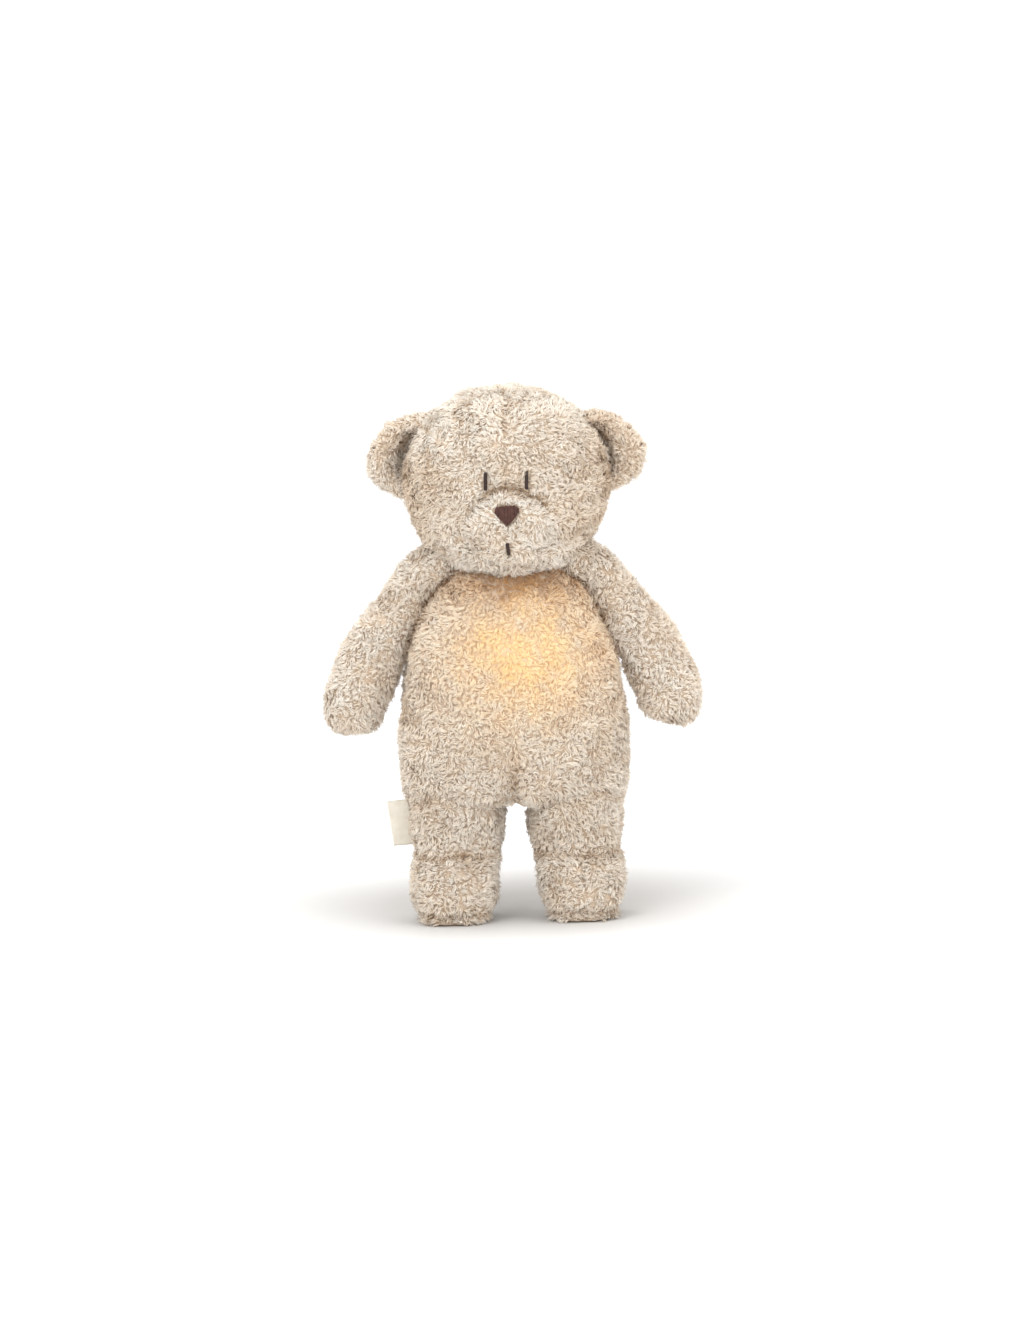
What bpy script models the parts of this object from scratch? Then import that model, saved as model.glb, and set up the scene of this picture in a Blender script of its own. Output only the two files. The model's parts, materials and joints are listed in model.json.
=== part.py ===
"""Plush night light: a standing teddy bear with a light and sound module in a pocket in its belly.

The bear faces -Y and stands on Z = 0, and left and right are the bear's own. The stuffed forms are
lofts through rings that follow tables of shares. Every form can be grown or shrunk, so that each
neighbour is cut by the same form with the clearance between them.
"""

import math

import bmesh
import bpy
from mathutils import Matrix, Vector

MM = 0.001

# Clearances that every pair of neighbours shares.
GAP = 0.3 * MM
OVERRUN = 4.0 * MM

# Torso: a stuffed bag, widest at the hips.
TORSO_BOTTOM_Z = 63.5 * MM
TORSO_HEIGHT = 134.0 * MM
TORSO_TOP_Z = TORSO_BOTTOM_Z + TORSO_HEIGHT
TORSO_HALF_WIDTH = 64.4 * MM
TORSO_HALF_DEPTH = 43.0 * MM
TORSO_POWER = 2.2
# Height, half width and half depth.
TORSO_SHARES = (
    (0.000, 0.870, 0.680),
    (0.020, 0.940, 0.790),
    (0.070, 0.986, 0.880),
    (0.160, 1.000, 0.940),
    (0.240, 1.000, 0.975),
    (0.350, 0.985, 0.995),
    (0.450, 0.965, 1.000),
    (0.550, 0.938, 0.995),
    (0.640, 0.898, 0.968),
    (0.720, 0.846, 0.920),
    (0.795, 0.776, 0.850),
    (0.855, 0.714, 0.770),
    (0.907, 0.645, 0.690),
    (0.950, 0.560, 0.610),
    (0.980, 0.460, 0.520),
    (1.000, 0.350, 0.410),
)

# Head: a flattened ball, round where it turns on the torso.
NECK_SINK = 7.0 * MM
HEAD_BOTTOM_Z = TORSO_TOP_Z - NECK_SINK
HEAD_HEIGHT = 107.0 * MM
HEAD_HALF_WIDTH = 58.0 * MM
HEAD_HALF_DEPTH = 50.0 * MM
HEAD_POWER = 2.05
HEAD_SHARES = (
    (0.000, 0.120, 0.139),
    (0.015, 0.280, 0.325),
    (0.045, 0.450, 0.522),
    (0.090, 0.600, 0.696),
    (0.145, 0.725, 0.815),
    (0.220, 0.850, 0.900),
    (0.320, 0.948, 0.965),
    (0.430, 0.994, 0.995),
    (0.520, 1.000, 1.000),
    (0.610, 0.980, 0.985),
    (0.700, 0.930, 0.945),
    (0.790, 0.845, 0.870),
    (0.870, 0.715, 0.750),
    (0.930, 0.560, 0.600),
    (0.972, 0.370, 0.400),
    (1.000, 0.130, 0.140),
)

# Muzzle, nose and stitched features.
MUZZLE_UP = 28.5 * MM
MUZZLE_Z = HEAD_BOTTOM_Z + MUZZLE_UP
MUZZLE_HALF_WIDTH = 25.0 * MM
MUZZLE_HALF_HEIGHT = 21.0 * MM
MUZZLE_HALF_DEPTH = 15.0 * MM
MUZZLE_RISE = 6.5 * MM
# The head's half depth at the muzzle, as a share of its largest.
MUZZLE_FRONT_SHARE = 0.945
NOSE_UP = 5.5 * MM
NOSE_Z = MUZZLE_Z + NOSE_UP
NOSE_HALF_WIDTH = 9.0 * MM
NOSE_HEIGHT = 14.5 * MM
NOSE_THICKNESS = 1.9 * MM
NOSE_CORNER = 3.0 * MM
STITCH_WIDTH = 1.9 * MM
STITCH_THICKNESS = 1.2 * MM
EYE_HALF_SPACING = 11.2 * MM
EYE_UP = 54.0 * MM
EYE_Z = HEAD_BOTTOM_Z + EYE_UP
EYE_HEIGHT = 10.0 * MM
MOUTH_DOWN = 11.0 * MM
MOUTH_Z = MUZZLE_Z - MOUTH_DOWN
MOUTH_HEIGHT = 6.6 * MM

# Ears: cups that open to the front, sewn to the sides of the head.
EAR_RADIUS = 24.0 * MM
EAR_CENTRE_X = 54.0 * MM
EAR_UP = 67.0 * MM
EAR_CENTRE_Z = HEAD_BOTTOM_Z + EAR_UP
EAR_CENTRE_Y = 2.0 * MM
EAR_DEPTH = 17.0 * MM
EAR_HINGE_X = 56.5 * MM
EAR_SEAT_GAP = 0.6 * MM
EAR_FOLD_DEG = 12.0
# Distance from the centre as a share of the radius, place from front to back as a share of the depth.
EAR_PROFILE_SHARES = (
    (0.00, 0.62),
    (0.30, 0.56),
    (0.52, 0.36),
    (0.66, 0.10),
    (0.80, 0.00),
    (0.92, 0.10),
    (0.99, 0.33),
    (1.00, 0.52),
    (0.95, 0.74),
    (0.82, 0.91),
    (0.58, 0.99),
    (0.30, 1.00),
    (0.00, 1.00),
)

# Arms: drooping stuffed tubes on a ball at the shoulder.
SHOULDER_X = 44.0 * MM
SHOULDER_DOWN = 6.0 * MM
SHOULDER_Z = TORSO_TOP_Z - SHOULDER_DOWN
SHOULDER_RADIUS = 12.0 * MM
ARM_REACH = 46.0 * MM
ARM_DROP = 88.0 * MM
ARM_RADIUS = 19.0 * MM
ARM_DEPTH_SHARE = 0.9
# Way out from the shoulder as a share of the reach, way down as a share of the drop, radius share.
ARM_SHARES = (
    (0.000, 0.000, 0.620),
    (0.120, 0.030, 0.655),
    (0.240, 0.075, 0.715),
    (0.480, 0.215, 0.830),
    (0.660, 0.400, 0.945),
    (0.820, 0.600, 1.000),
    (0.930, 0.770, 0.985),
    (0.978, 0.880, 0.880),
    (0.995, 0.950, 0.660),
    (1.000, 0.990, 0.350),
    (1.000, 1.000, 0.120),
)

# Legs: barrels that turn in the torso's sockets, then a taper to the ankle.
HIP_X = 32.6 * MM
HIP_Z = 58.0 * MM
HIP_RADIUS = 26.0 * MM
HIP_END_RADIUS = 2.0 * MM
LEG_HALF_WIDTH = 27.0 * MM
LEG_POWER = 3.0
ANKLE_Z = 37.0 * MM
# Height from ankle to hip as a share, half width share, half depth as a share of the hip's radius.
LEG_SHARES = (
    (0.00, 0.850, 0.780),
    (0.12, 0.915, 0.835),
    (0.35, 0.960, 0.880),
    (0.65, 0.990, 0.950),
    (1.00, 1.000, 1.000),
)
HIP_SWING_DEG = 40.0

# Feet and their soles.
FOOT_X = 35.5 * MM
FOOT_HALF_WIDTH = 24.0 * MM
FOOT_HALF_LENGTH = 33.0 * MM
FOOT_FORWARD = 10.0 * MM
SOLE_THICKNESS = 2.0 * MM
SOLE_HALF_WIDTH = 19.0 * MM
SOLE_HALF_LENGTH = 29.0 * MM
FOOT_POWER = 2.3
# Height from sole to ankle, half width share, half length share, forward place share, side place share.
FOOT_SHARES = (
    (0.000, 0.800, 0.880, 1.00, 1.00),
    (0.060, 0.880, 0.950, 1.00, 1.00),
    (0.200, 0.965, 1.000, 0.98, 1.00),
    (0.400, 1.000, 1.000, 0.88, 0.96),
    (0.600, 1.000, 0.945, 0.64, 0.80),
    (0.780, 0.985, 0.860, 0.36, 0.50),
    (0.920, 0.960, 0.770, 0.12, 0.20),
    (1.000, 0.930, 0.690, 0.00, 0.00),
)

# Woven side label, folded double in the right leg's side seam.
LABEL_HEIGHT = 24.0 * MM
LABEL_REACH = 11.5 * MM
LABEL_THICKNESS = 1.0 * MM
LABEL_DOWN = 4.5 * MM
LABEL_Z = HIP_Z - LABEL_DOWN
LABEL_TILT_DEG = 6.0

# Light module: a rounded box that stands in the pocket.
MODULE_DOWN = 53.5 * MM
MODULE_Z = TORSO_TOP_Z - MODULE_DOWN
MODULE_HALF_WIDTH = 28.0 * MM
MODULE_HALF_HEIGHT = 34.0 * MM
MODULE_CORNER = 13.0 * MM
MODULE_FRONT_Y = -24.0 * MM
MODULE_SPLIT_Y = -5.0 * MM
MODULE_BACK_Y = 21.0 * MM
MODULE_WALL = 2.0 * MM
MODULE_EDGE = 5.0 * MM
LINER_THICKNESS = 0.7 * MM

# Batteries and what holds them, measured from the module's centre.
CELL_COUNT = 3
CELL_RADIUS = 5.25 * MM
CELL_LENGTH = 44.5 * MM
CELL_PITCH = 11.0 * MM
CELL_BUTTON_RADIUS = 1.9 * MM
CELL_BUTTON_HEIGHT = 0.9 * MM
BAY_BOTTOM = -30.0 * MM
SPRING_LENGTH = 3.2 * MM
SPRING_RADIUS = 3.2 * MM
SPRING_WIRE = 0.35 * MM
SPRING_TURNS = 2
CONTACT_THICKNESS = 0.5 * MM
BAY_WALL = 2.0 * MM
DOOR_THICKNESS = 1.8 * MM
DOOR_LIP = 1.2 * MM
DOOR_TAB_HALF_WIDTH = 5.0 * MM
DOOR_TAB_HEIGHT = 5.2 * MM
DOOR_SCREW_RISE = 2.9 * MM

# Circuit board, lights, speaker and microphone.
BOARD_THICKNESS = 1.6 * MM
BOARD_FRONT_Y = -3.0 * MM
BOARD_MARGIN = 1.6 * MM
LED_COUNT = 3
LED_RADIUS = 2.5 * MM
LED_FLANGE = 1.0 * MM
LED_LENGTH = 5.0 * MM
LED_PITCH = 13.0 * MM
LED_RISE = 12.0 * MM
SPEAKER_RADIUS = 15.0 * MM
SPEAKER_DEPTH = 6.0 * MM
SPEAKER_DROP = 13.0 * MM
SPEAKER_MAGNET_RADIUS = 8.0 * MM
SPEAKER_WAIST_SHARE = 0.4
SPEAKER_RIM_SHARE = 0.9
SPEAKER_SLOTS = 5
SLOT_WIDTH = 1.8 * MM
SLOT_LENGTH = 16.0 * MM
SLOT_PITCH = 4.4 * MM
MICROPHONE_RADIUS = 3.0 * MM
MICROPHONE_LENGTH = 2.4 * MM
MICROPHONE_RISE = 24.0 * MM

# Screws: four through the two shells, one in the battery door.
SCREW_RADIUS = 1.2 * MM
SCREW_HEAD_RADIUS = 2.1 * MM
SCREW_HEAD_HEIGHT = 1.6 * MM
BOSS_RADIUS = 3.4 * MM
BOSS_X = 21.8 * MM
BOSS_RISES = (13.0 * MM, -20.0 * MM)
DOOR_SCREW_LENGTH = 7.0 * MM

# Controls in the band above the battery door.
CONTROL_RISE = 27.6 * MM
BUTTON_RADIUS = 2.6 * MM
BUTTON_PROUD = 1.2 * MM
BUTTON_TRAVEL = 0.8 * MM
BUTTON_FLANGE = 0.6 * MM
BUTTON_PLACES = (
    ("play_button", -17.5 * MM),
    ("volume_down_button", -9.5 * MM),
    ("volume_up_button", 9.5 * MM),
    ("light_button", 17.5 * MM),
)
SWITCH_HALF_WIDTH = 2.0 * MM
SWITCH_HALF_HEIGHT = 1.6 * MM
SWITCH_TRAVEL = 3.0 * MM
SWITCH_PROUD = 1.0 * MM
SWITCH_FLANGE = 2.4 * MM
SWITCH_FLANGE_RISE = 0.8 * MM

# Closure flap on the back, with its touch fastener.
FLAP_SIDE = 6.0 * MM
FLAP_HEADROOM = 6.0 * MM
FLAP_TAIL = 16.0 * MM
FLAP_HALF_WIDTH = MODULE_HALF_WIDTH + FLAP_SIDE
FLAP_TOP_Z = MODULE_Z + MODULE_HALF_HEIGHT + FLAP_HEADROOM
FLAP_BOTTOM_Z = MODULE_Z - MODULE_HALF_HEIGHT - FLAP_TAIL
FLAP_CORNER = 10.0 * MM
FLAP_THICKNESS = 4.0 * MM
FLAP_TURN_RADIUS = 12.5 * MM
STRIP_THICKNESS = 1.0 * MM
STRIP_HALF_WIDTH = 24.0 * MM
STRIP_HEIGHT = 10.0 * MM
STRIP_RISE = 2.6 * MM

# Counts of facets.
TORSO_RINGS = 17
TORSO_SEGMENTS = 32
HEAD_RINGS = 16
HEAD_SEGMENTS = 30
LIMB_SEGMENTS = 18
ARM_RINGS = 14
LEG_RINGS = 5
FOOT_RINGS = 8
BARREL_RINGS = 11
EAR_SEGMENTS = 24
ROUND_SEGMENTS = 14
SMALL_SEGMENTS = 8

# Worked out from the sizes above.
MUZZLE_Y = MUZZLE_HALF_DEPTH - MUZZLE_RISE - HEAD_HALF_DEPTH * MUZZLE_FRONT_SHARE
FRONT_REACH = MUZZLE_HALF_DEPTH - MUZZLE_Y + NOSE_THICKNESS + GAP
DEPTH_SHIFT = (FRONT_REACH - HEAD_HALF_DEPTH) / 2
BAY_TOP = BAY_BOTTOM + CELL_LENGTH + SPRING_LENGTH + CONTACT_THICKNESS + 4 * GAP
BAY_HALF_WIDTH = CELL_PITCH * (CELL_COUNT - 1) / 2 + CELL_RADIUS + GAP
CELL_Y = MODULE_BACK_Y - DOOR_THICKNESS - GAP - CELL_RADIUS
BAY_FLOOR_Y = CELL_Y - CELL_RADIUS - GAP
POCKET_MARGIN = LINER_THICKNESS + 2 * GAP
STRIP_DEPTH = FLAP_THICKNESS + 3 * GAP + 2 * STRIP_THICKNESS


def clear_scene():
    for thing in list(bpy.data.objects):
        bpy.data.objects.remove(thing, do_unlink=True)


def make_collection(name):
    collection = bpy.data.collections.new(name)
    bpy.context.scene.collection.children.link(collection)
    return collection


def make_material(name, colour, roughness, metallic=0.0):
    material = bpy.data.materials.new(name)
    material.use_nodes = True
    shader = material.node_tree.nodes["Principled BSDF"]
    shader.inputs["Base Color"].default_value = (*colour, 1.0)
    shader.inputs["Roughness"].default_value = roughness
    shader.inputs["Metallic"].default_value = metallic
    return material


def make_materials():
    return {
        "plush": make_material("plush", (0.62, 0.53, 0.42), 0.95),
        "flap_plush": make_material("flap_plush", (0.60, 0.51, 0.40), 0.95),
        "thread": make_material("thread", (0.09, 0.045, 0.04), 0.6),
        "label": make_material("label", (0.80, 0.76, 0.66), 0.9),
        "lining": make_material("lining", (0.72, 0.66, 0.56), 0.9),
        "fastener": make_material("fastener", (0.70, 0.64, 0.54), 0.8),
        "diffuser": make_material("diffuser", (0.95, 0.92, 0.85), 0.35),
        "housing": make_material("housing", (0.88, 0.87, 0.84), 0.45),
        "board": make_material("board", (0.05, 0.24, 0.12), 0.5),
        "led": make_material("led", (1.0, 0.78, 0.42), 0.3),
        "speaker": make_material("speaker", (0.05, 0.05, 0.05), 0.6),
        "steel": make_material("steel", (0.72, 0.72, 0.70), 0.3, 1.0),
        "cell": make_material("cell", (0.20, 0.22, 0.24), 0.4),
        "button": make_material("button", (0.45, 0.42, 0.38), 0.6),
    }


# Meshes


def mesh_from(name, builder):
    builder.normal_update()
    mesh = bpy.data.meshes.new(name)
    builder.to_mesh(mesh)
    builder.free()
    return mesh


def smooth_value(values, place):
    """Catmull-Rom value at a place counted in rows."""
    last = len(values) - 1
    row = min(int(place), last - 1)
    share = place - row
    before = values[max(row - 1, 0)]
    start = values[row]
    end = values[row + 1]
    after = values[min(row + 2, last)]
    return start + 0.5 * share * (
        end - before
        + share * (2 * before - 5 * start + 4 * end - after + share * (3 * (start - end) + after - before))
    )


def smooth_rows(shares, count):
    """The share table read at evenly spaced places on a smooth curve through its rows."""
    columns = list(zip(*shares))
    places = [(len(shares) - 1) * step / (count - 1) for step in range(count)]
    return [[smooth_value(column, place) for column in columns] for place in places]


def oval_point(angle, power):
    """A point of the unit superellipse."""
    bend = 2 / power
    across = math.copysign(abs(math.cos(angle)) ** bend, math.cos(angle))
    along = math.copysign(abs(math.sin(angle)) ** bend, math.sin(angle))
    return across, along


def loft(name, rings, segments, power):
    """A closed body through rings, each a centre and its two half axes, with a fan at each end."""
    builder = bmesh.new()
    loops = []
    for centre, across, along in rings:
        loop = []
        for step in range(segments):
            first, second = oval_point(math.tau * step / segments, power)
            loop.append(builder.verts.new(centre + across * first + along * second))
        loops.append(loop)
    for low, high in zip(loops, loops[1:]):
        for step in range(segments):
            following = (step + 1) % segments
            builder.faces.new((low[step], low[following], high[following], high[step]))
    for loop, ring in ((loops[0], rings[0]), (loops[-1], rings[-1])):
        middle = builder.verts.new(ring[0])
        for step in range(segments):
            builder.faces.new((loop[step], loop[(step + 1) % segments], middle))
    bmesh.ops.recalc_face_normals(builder, faces=builder.faces)
    return mesh_from(name, builder)


def level_ring(x, y, z, half_width, half_depth):
    return Vector((x, y, z)), Vector((half_width, 0, 0)), Vector((0, half_depth, 0))


def box(name, low, high):
    builder = bmesh.new()
    size = Vector(high) - Vector(low)
    place = Matrix.Translation((Vector(low) + Vector(high)) / 2) @ Matrix.Diagonal((*size, 1.0))
    bmesh.ops.create_cube(builder, size=1.0, matrix=place)
    return mesh_from(name, builder)


def rounded_box(name, half_width, half_height, corner, front_y, back_y, centre_z, edge=0.0, edge_end=-1):
    """A box with round corners seen from the front, and a round edge at one end where asked for."""
    builder = bmesh.new()
    centre = Vector((0, (front_y + back_y) / 2, centre_z))
    size = (2 * half_width, back_y - front_y, 2 * half_height, 1.0)
    bmesh.ops.create_cube(builder, size=1.0, matrix=Matrix.Translation(centre) @ Matrix.Diagonal(size))
    upright = [side for side in builder.edges if abs(side.verts[0].co.y - side.verts[1].co.y) > GAP]
    bmesh.ops.bevel(builder, geom=upright, offset=corner, segments=4, profile=0.5, affect="EDGES")
    if edge:
        rim = [side for side in builder.edges if all((v.co.y - centre.y) * edge_end > 0 for v in side.verts)]
        bmesh.ops.bevel(builder, geom=rim, offset=edge, segments=2, profile=0.5, affect="EDGES")
    return mesh_from(name, builder)


def cylinder(name, centre, direction, radius, length, segments=ROUND_SEGMENTS):
    """A cylinder that starts at the centre point and runs along the direction."""
    builder = bmesh.new()
    turn = Vector((0, 0, 1)).rotation_difference(Vector(direction)).to_matrix().to_4x4()
    middle = Vector(centre) + Vector(direction).normalized() * length / 2
    bmesh.ops.create_cone(
        builder,
        cap_ends=True,
        segments=segments,
        radius1=radius,
        radius2=radius,
        depth=length,
        matrix=Matrix.Translation(middle) @ turn,
    )
    return mesh_from(name, builder)


def facet_allowance(segments):
    """How much larger a faceted socket is made, so that its flats still clear a round piece in it."""
    return 1 / math.cos(math.pi / segments)


def ball(name, centre, radius):
    builder = bmesh.new()
    bmesh.ops.create_uvsphere(
        builder,
        u_segments=LIMB_SEGMENTS,
        v_segments=LIMB_SEGMENTS // 2,
        radius=radius,
        matrix=Matrix.Translation(centre),
    )
    return mesh_from(name, builder)


def turned(name, profile, centre, segments):
    """A body turned about the Y axis through a centre, from radius and Y places of its profile."""
    builder = bmesh.new()
    loops = []
    for radius, place in profile:
        if radius == 0:
            loops.append([builder.verts.new(Vector(centre) + Vector((0, place, 0)))])
            continue
        loop = []
        for step in range(segments):
            angle = math.tau * step / segments
            spot = Vector((radius * math.cos(angle), place, radius * math.sin(angle)))
            loop.append(builder.verts.new(Vector(centre) + spot))
        loops.append(loop)
    for low, high in zip(loops, loops[1:]):
        for step in range(segments):
            following = (step + 1) % segments
            if len(low) == 1:
                builder.faces.new((low[0], high[following], high[step]))
            elif len(high) == 1:
                builder.faces.new((low[step], low[following], high[0]))
            else:
                builder.faces.new((low[step], low[following], high[following], high[step]))
    bmesh.ops.recalc_face_normals(builder, faces=builder.faces)
    return mesh_from(name, builder)


# Forms of the stuffed parts, in the bear's own frame


def torso_form(name, grow=0.0):
    rings = []
    for height, width, depth in smooth_rows(TORSO_SHARES, TORSO_RINGS):
        z = TORSO_BOTTOM_Z + TORSO_HEIGHT * height
        rings.append(
            level_ring(0, 0, z, TORSO_HALF_WIDTH * width + grow, TORSO_HALF_DEPTH * depth + grow)
        )
    return loft(name, rings, TORSO_SEGMENTS, TORSO_POWER)


def torso_half_depth(z):
    """The torso's half depth at a height, straight between the rows of its table."""
    height = (z - TORSO_BOTTOM_Z) / TORSO_HEIGHT
    for (low, _, start), (high, _, end) in zip(TORSO_SHARES, TORSO_SHARES[1:]):
        if low <= height <= high:
            return TORSO_HALF_DEPTH * (start + (end - start) * (height - low) / (high - low))
    return 0.0


def head_form(name, grow=0.0, swept=False):
    """The head, or where swept the round form that it fills as it turns."""
    rings = []
    middle = HEAD_BOTTOM_Z + HEAD_HEIGHT / 2
    stretch = 1 + 2 * grow / HEAD_HEIGHT
    for height, width, depth in smooth_rows(HEAD_SHARES, HEAD_RINGS):
        z = middle + HEAD_HEIGHT * (height - 0.5) * stretch
        half_width = HEAD_HALF_WIDTH * width + grow
        half_depth = HEAD_HALF_DEPTH * depth + grow
        if swept:
            half_width = max(half_width, half_depth)
            half_depth = half_width
        rings.append(level_ring(0, 0, z, half_width, half_depth))
    return loft(name, rings, HEAD_SEGMENTS, HEAD_POWER)


def muzzle_form(name, grow=0.0):
    builder = bmesh.new()
    size = (MUZZLE_HALF_WIDTH + grow, MUZZLE_HALF_DEPTH + grow, MUZZLE_HALF_HEIGHT + grow, 1.0)
    place = Matrix.Translation((0, MUZZLE_Y, MUZZLE_Z)) @ Matrix.Diagonal(size)
    bmesh.ops.create_uvsphere(
        builder, u_segments=LIMB_SEGMENTS, v_segments=LIMB_SEGMENTS // 2, radius=1.0, matrix=place
    )
    return mesh_from(name, builder)


def arm_form(name, side):
    rows = smooth_rows(ARM_SHARES, ARM_RINGS)
    spots = [
        Vector((side * (SHOULDER_X + ARM_REACH * out), 0, SHOULDER_Z - ARM_DROP * down))
        for out, down, _ in rows
    ]
    rings = []
    for index, (_, _, share) in enumerate(rows):
        ahead = spots[min(index + 1, len(spots) - 1)] - spots[max(index - 1, 0)]
        across = Vector((ahead.z, 0, -ahead.x)).normalized()
        radius = ARM_RADIUS * share
        rings.append((spots[index], across * radius, Vector((0, radius * ARM_DEPTH_SHARE, 0))))
    return loft(name, rings, LIMB_SEGMENTS, 2.0)


def hip_barrel(name, side, grow=0.0):
    """The leg's upper end: round about the hinge's axis, so that it turns in its socket."""
    rings = []
    segments = LIMB_SEGMENTS + LIMB_SEGMENTS // 3
    for step in range(BARREL_RINGS):
        along = -math.cos(math.pi * step / (BARREL_RINGS - 1))
        bulge = max(1 - abs(along) ** LEG_POWER, 0.0) ** (1 / LEG_POWER)
        radius = max(HIP_RADIUS * bulge, HIP_END_RADIUS) + grow
        if grow:
            radius *= facet_allowance(segments)
        centre = Vector((side * HIP_X + (LEG_HALF_WIDTH + grow) * along, 0, HIP_Z))
        rings.append((centre, Vector((0, radius, 0)), Vector((0, 0, radius))))
    return loft(name, rings, segments, 2.0)


def leg_form(name, side):
    rings = []
    for height, width, depth in smooth_rows(LEG_SHARES, LEG_RINGS):
        z = ANKLE_Z + GAP + (HIP_Z - ANKLE_Z - GAP) * height
        rings.append(level_ring(side * HIP_X, 0, z, LEG_HALF_WIDTH * width, HIP_RADIUS * depth))
    return loft(name, rings, LIMB_SEGMENTS, LEG_POWER)


def foot_form(name, side):
    rings = []
    for height, width, length, forward, outward in smooth_rows(FOOT_SHARES, FOOT_RINGS):
        z = SOLE_THICKNESS + GAP + (ANKLE_Z - SOLE_THICKNESS - GAP) * height
        x = side * (HIP_X + (FOOT_X - HIP_X) * outward)
        y = -FOOT_FORWARD * forward
        rings.append(level_ring(x, y, z, FOOT_HALF_WIDTH * width, FOOT_HALF_LENGTH * length))
    return loft(name, rings, LIMB_SEGMENTS, FOOT_POWER)


def sole_form(name, side):
    rings = []
    for z, inset in (
        (0.0, SOLE_THICKNESS / 2),
        (SOLE_THICKNESS / 2, 0.0),
        (SOLE_THICKNESS, 0.0),
    ):
        rings.append(
            level_ring(side * FOOT_X, -FOOT_FORWARD, z, SOLE_HALF_WIDTH - inset, SOLE_HALF_LENGTH - inset)
        )
    return loft(name, rings, LIMB_SEGMENTS, FOOT_POWER)


def ear_form(name, side):
    front = EAR_CENTRE_Y - EAR_DEPTH / 2
    profile = [(EAR_RADIUS * out, front + EAR_DEPTH * back) for out, back in EAR_PROFILE_SHARES]
    return turned(name, profile, (side * EAR_CENTRE_X, 0, EAR_CENTRE_Z), EAR_SEGMENTS)


def nose_outline(name):
    """A rounded triangle, point down, seen from the front."""
    corners = (
        (-NOSE_HALF_WIDTH, NOSE_HEIGHT / 2),
        (NOSE_HALF_WIDTH, NOSE_HEIGHT / 2),
        (0.0, -NOSE_HEIGHT / 2),
    )
    builder = bmesh.new()
    reach = HEAD_HALF_DEPTH + MUZZLE_HALF_DEPTH
    for y in (-reach, MUZZLE_Y):
        for x, rise in corners:
            builder.verts.new((x, y, NOSE_Z + rise))
    builder.verts.ensure_lookup_table()
    verts = builder.verts
    builder.faces.new((verts[0], verts[1], verts[2]))
    builder.faces.new((verts[5], verts[4], verts[3]))
    for step in range(3):
        following = (step + 1) % 3
        builder.faces.new((verts[following], verts[step], verts[step + 3], verts[following + 3]))
    bmesh.ops.recalc_face_normals(builder, faces=builder.faces)
    upright = [edge for edge in builder.edges if abs(edge.verts[0].co.y - edge.verts[1].co.y) > GAP]
    bmesh.ops.bevel(builder, geom=upright, offset=NOSE_CORNER, segments=4, profile=0.5, affect="EDGES")
    return mesh_from(name, builder)


def bar_outline(name, x, z, height):
    """An upright bar seen from the front, deep enough to cut any curved skin."""
    reach = HEAD_HALF_DEPTH + MUZZLE_HALF_DEPTH
    half = STITCH_WIDTH / 2
    return box(name, (x - half, -reach, z - height / 2), (x + half, MUZZLE_Y, z + height / 2))


# Placing and joining


class Workshop:
    """Holds the collections, the materials and the pivots, and places each piece on its pivot."""

    def __init__(self):
        self.materials = make_materials()
        self.parts = make_collection("plush_night_light")
        self.cutters = make_collection("cutters")
        self.root = self.pivot("bear", None, (0, DEPTH_SHIFT, 0))

    def pivot(self, name, parent, place):
        empty = bpy.data.objects.new(name, None)
        empty.empty_display_size = OVERRUN
        self.parts.objects.link(empty)
        spot = Vector(place)
        if parent is None:
            empty.location = spot
        else:
            empty.parent = parent
            empty.location = spot - self.place_of(parent)
        return empty

    def place_of(self, pivot):
        """The pivot's place in the bear's own frame."""
        place = Vector((0, 0, 0))
        while pivot.parent is not None:
            place += pivot.location
            pivot = pivot.parent
        return place

    def piece(self, name, mesh, material, pivot, sharp_deg=35.0):
        mesh.transform(Matrix.Translation(-self.place_of(pivot)))
        mesh.shade_smooth()
        mesh.set_sharp_from_angle(angle=math.radians(sharp_deg))
        mesh.materials.clear()
        mesh.materials.append(self.materials[material])
        thing = bpy.data.objects.new(name, mesh)
        self.parts.objects.link(thing)
        thing.parent = pivot
        return thing

    def cutter(self, mesh, turn=None):
        """A hidden helper in the bear's own frame, or turned by a matrix about a place there."""
        if turn is not None:
            mesh.transform(turn)
        thing = bpy.data.objects.new(mesh.name, mesh)
        self.cutters.objects.link(thing)
        thing.parent = self.root
        thing.hide_render = True
        thing.display_type = "WIRE"
        return thing

    def combine(self, piece, helper, operation="DIFFERENCE"):
        step = piece.modifiers.new(operation.lower(), "BOOLEAN")
        step.operation = operation
        step.solver = "EXACT"
        step.object = helper


def turned_about(place, axis, angle_deg):
    place = Vector(place)
    turn = Matrix.Rotation(math.radians(angle_deg), 4, axis)
    return Matrix.Translation(place) @ turn @ Matrix.Translation(-place)


# The stuffed bear


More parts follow.
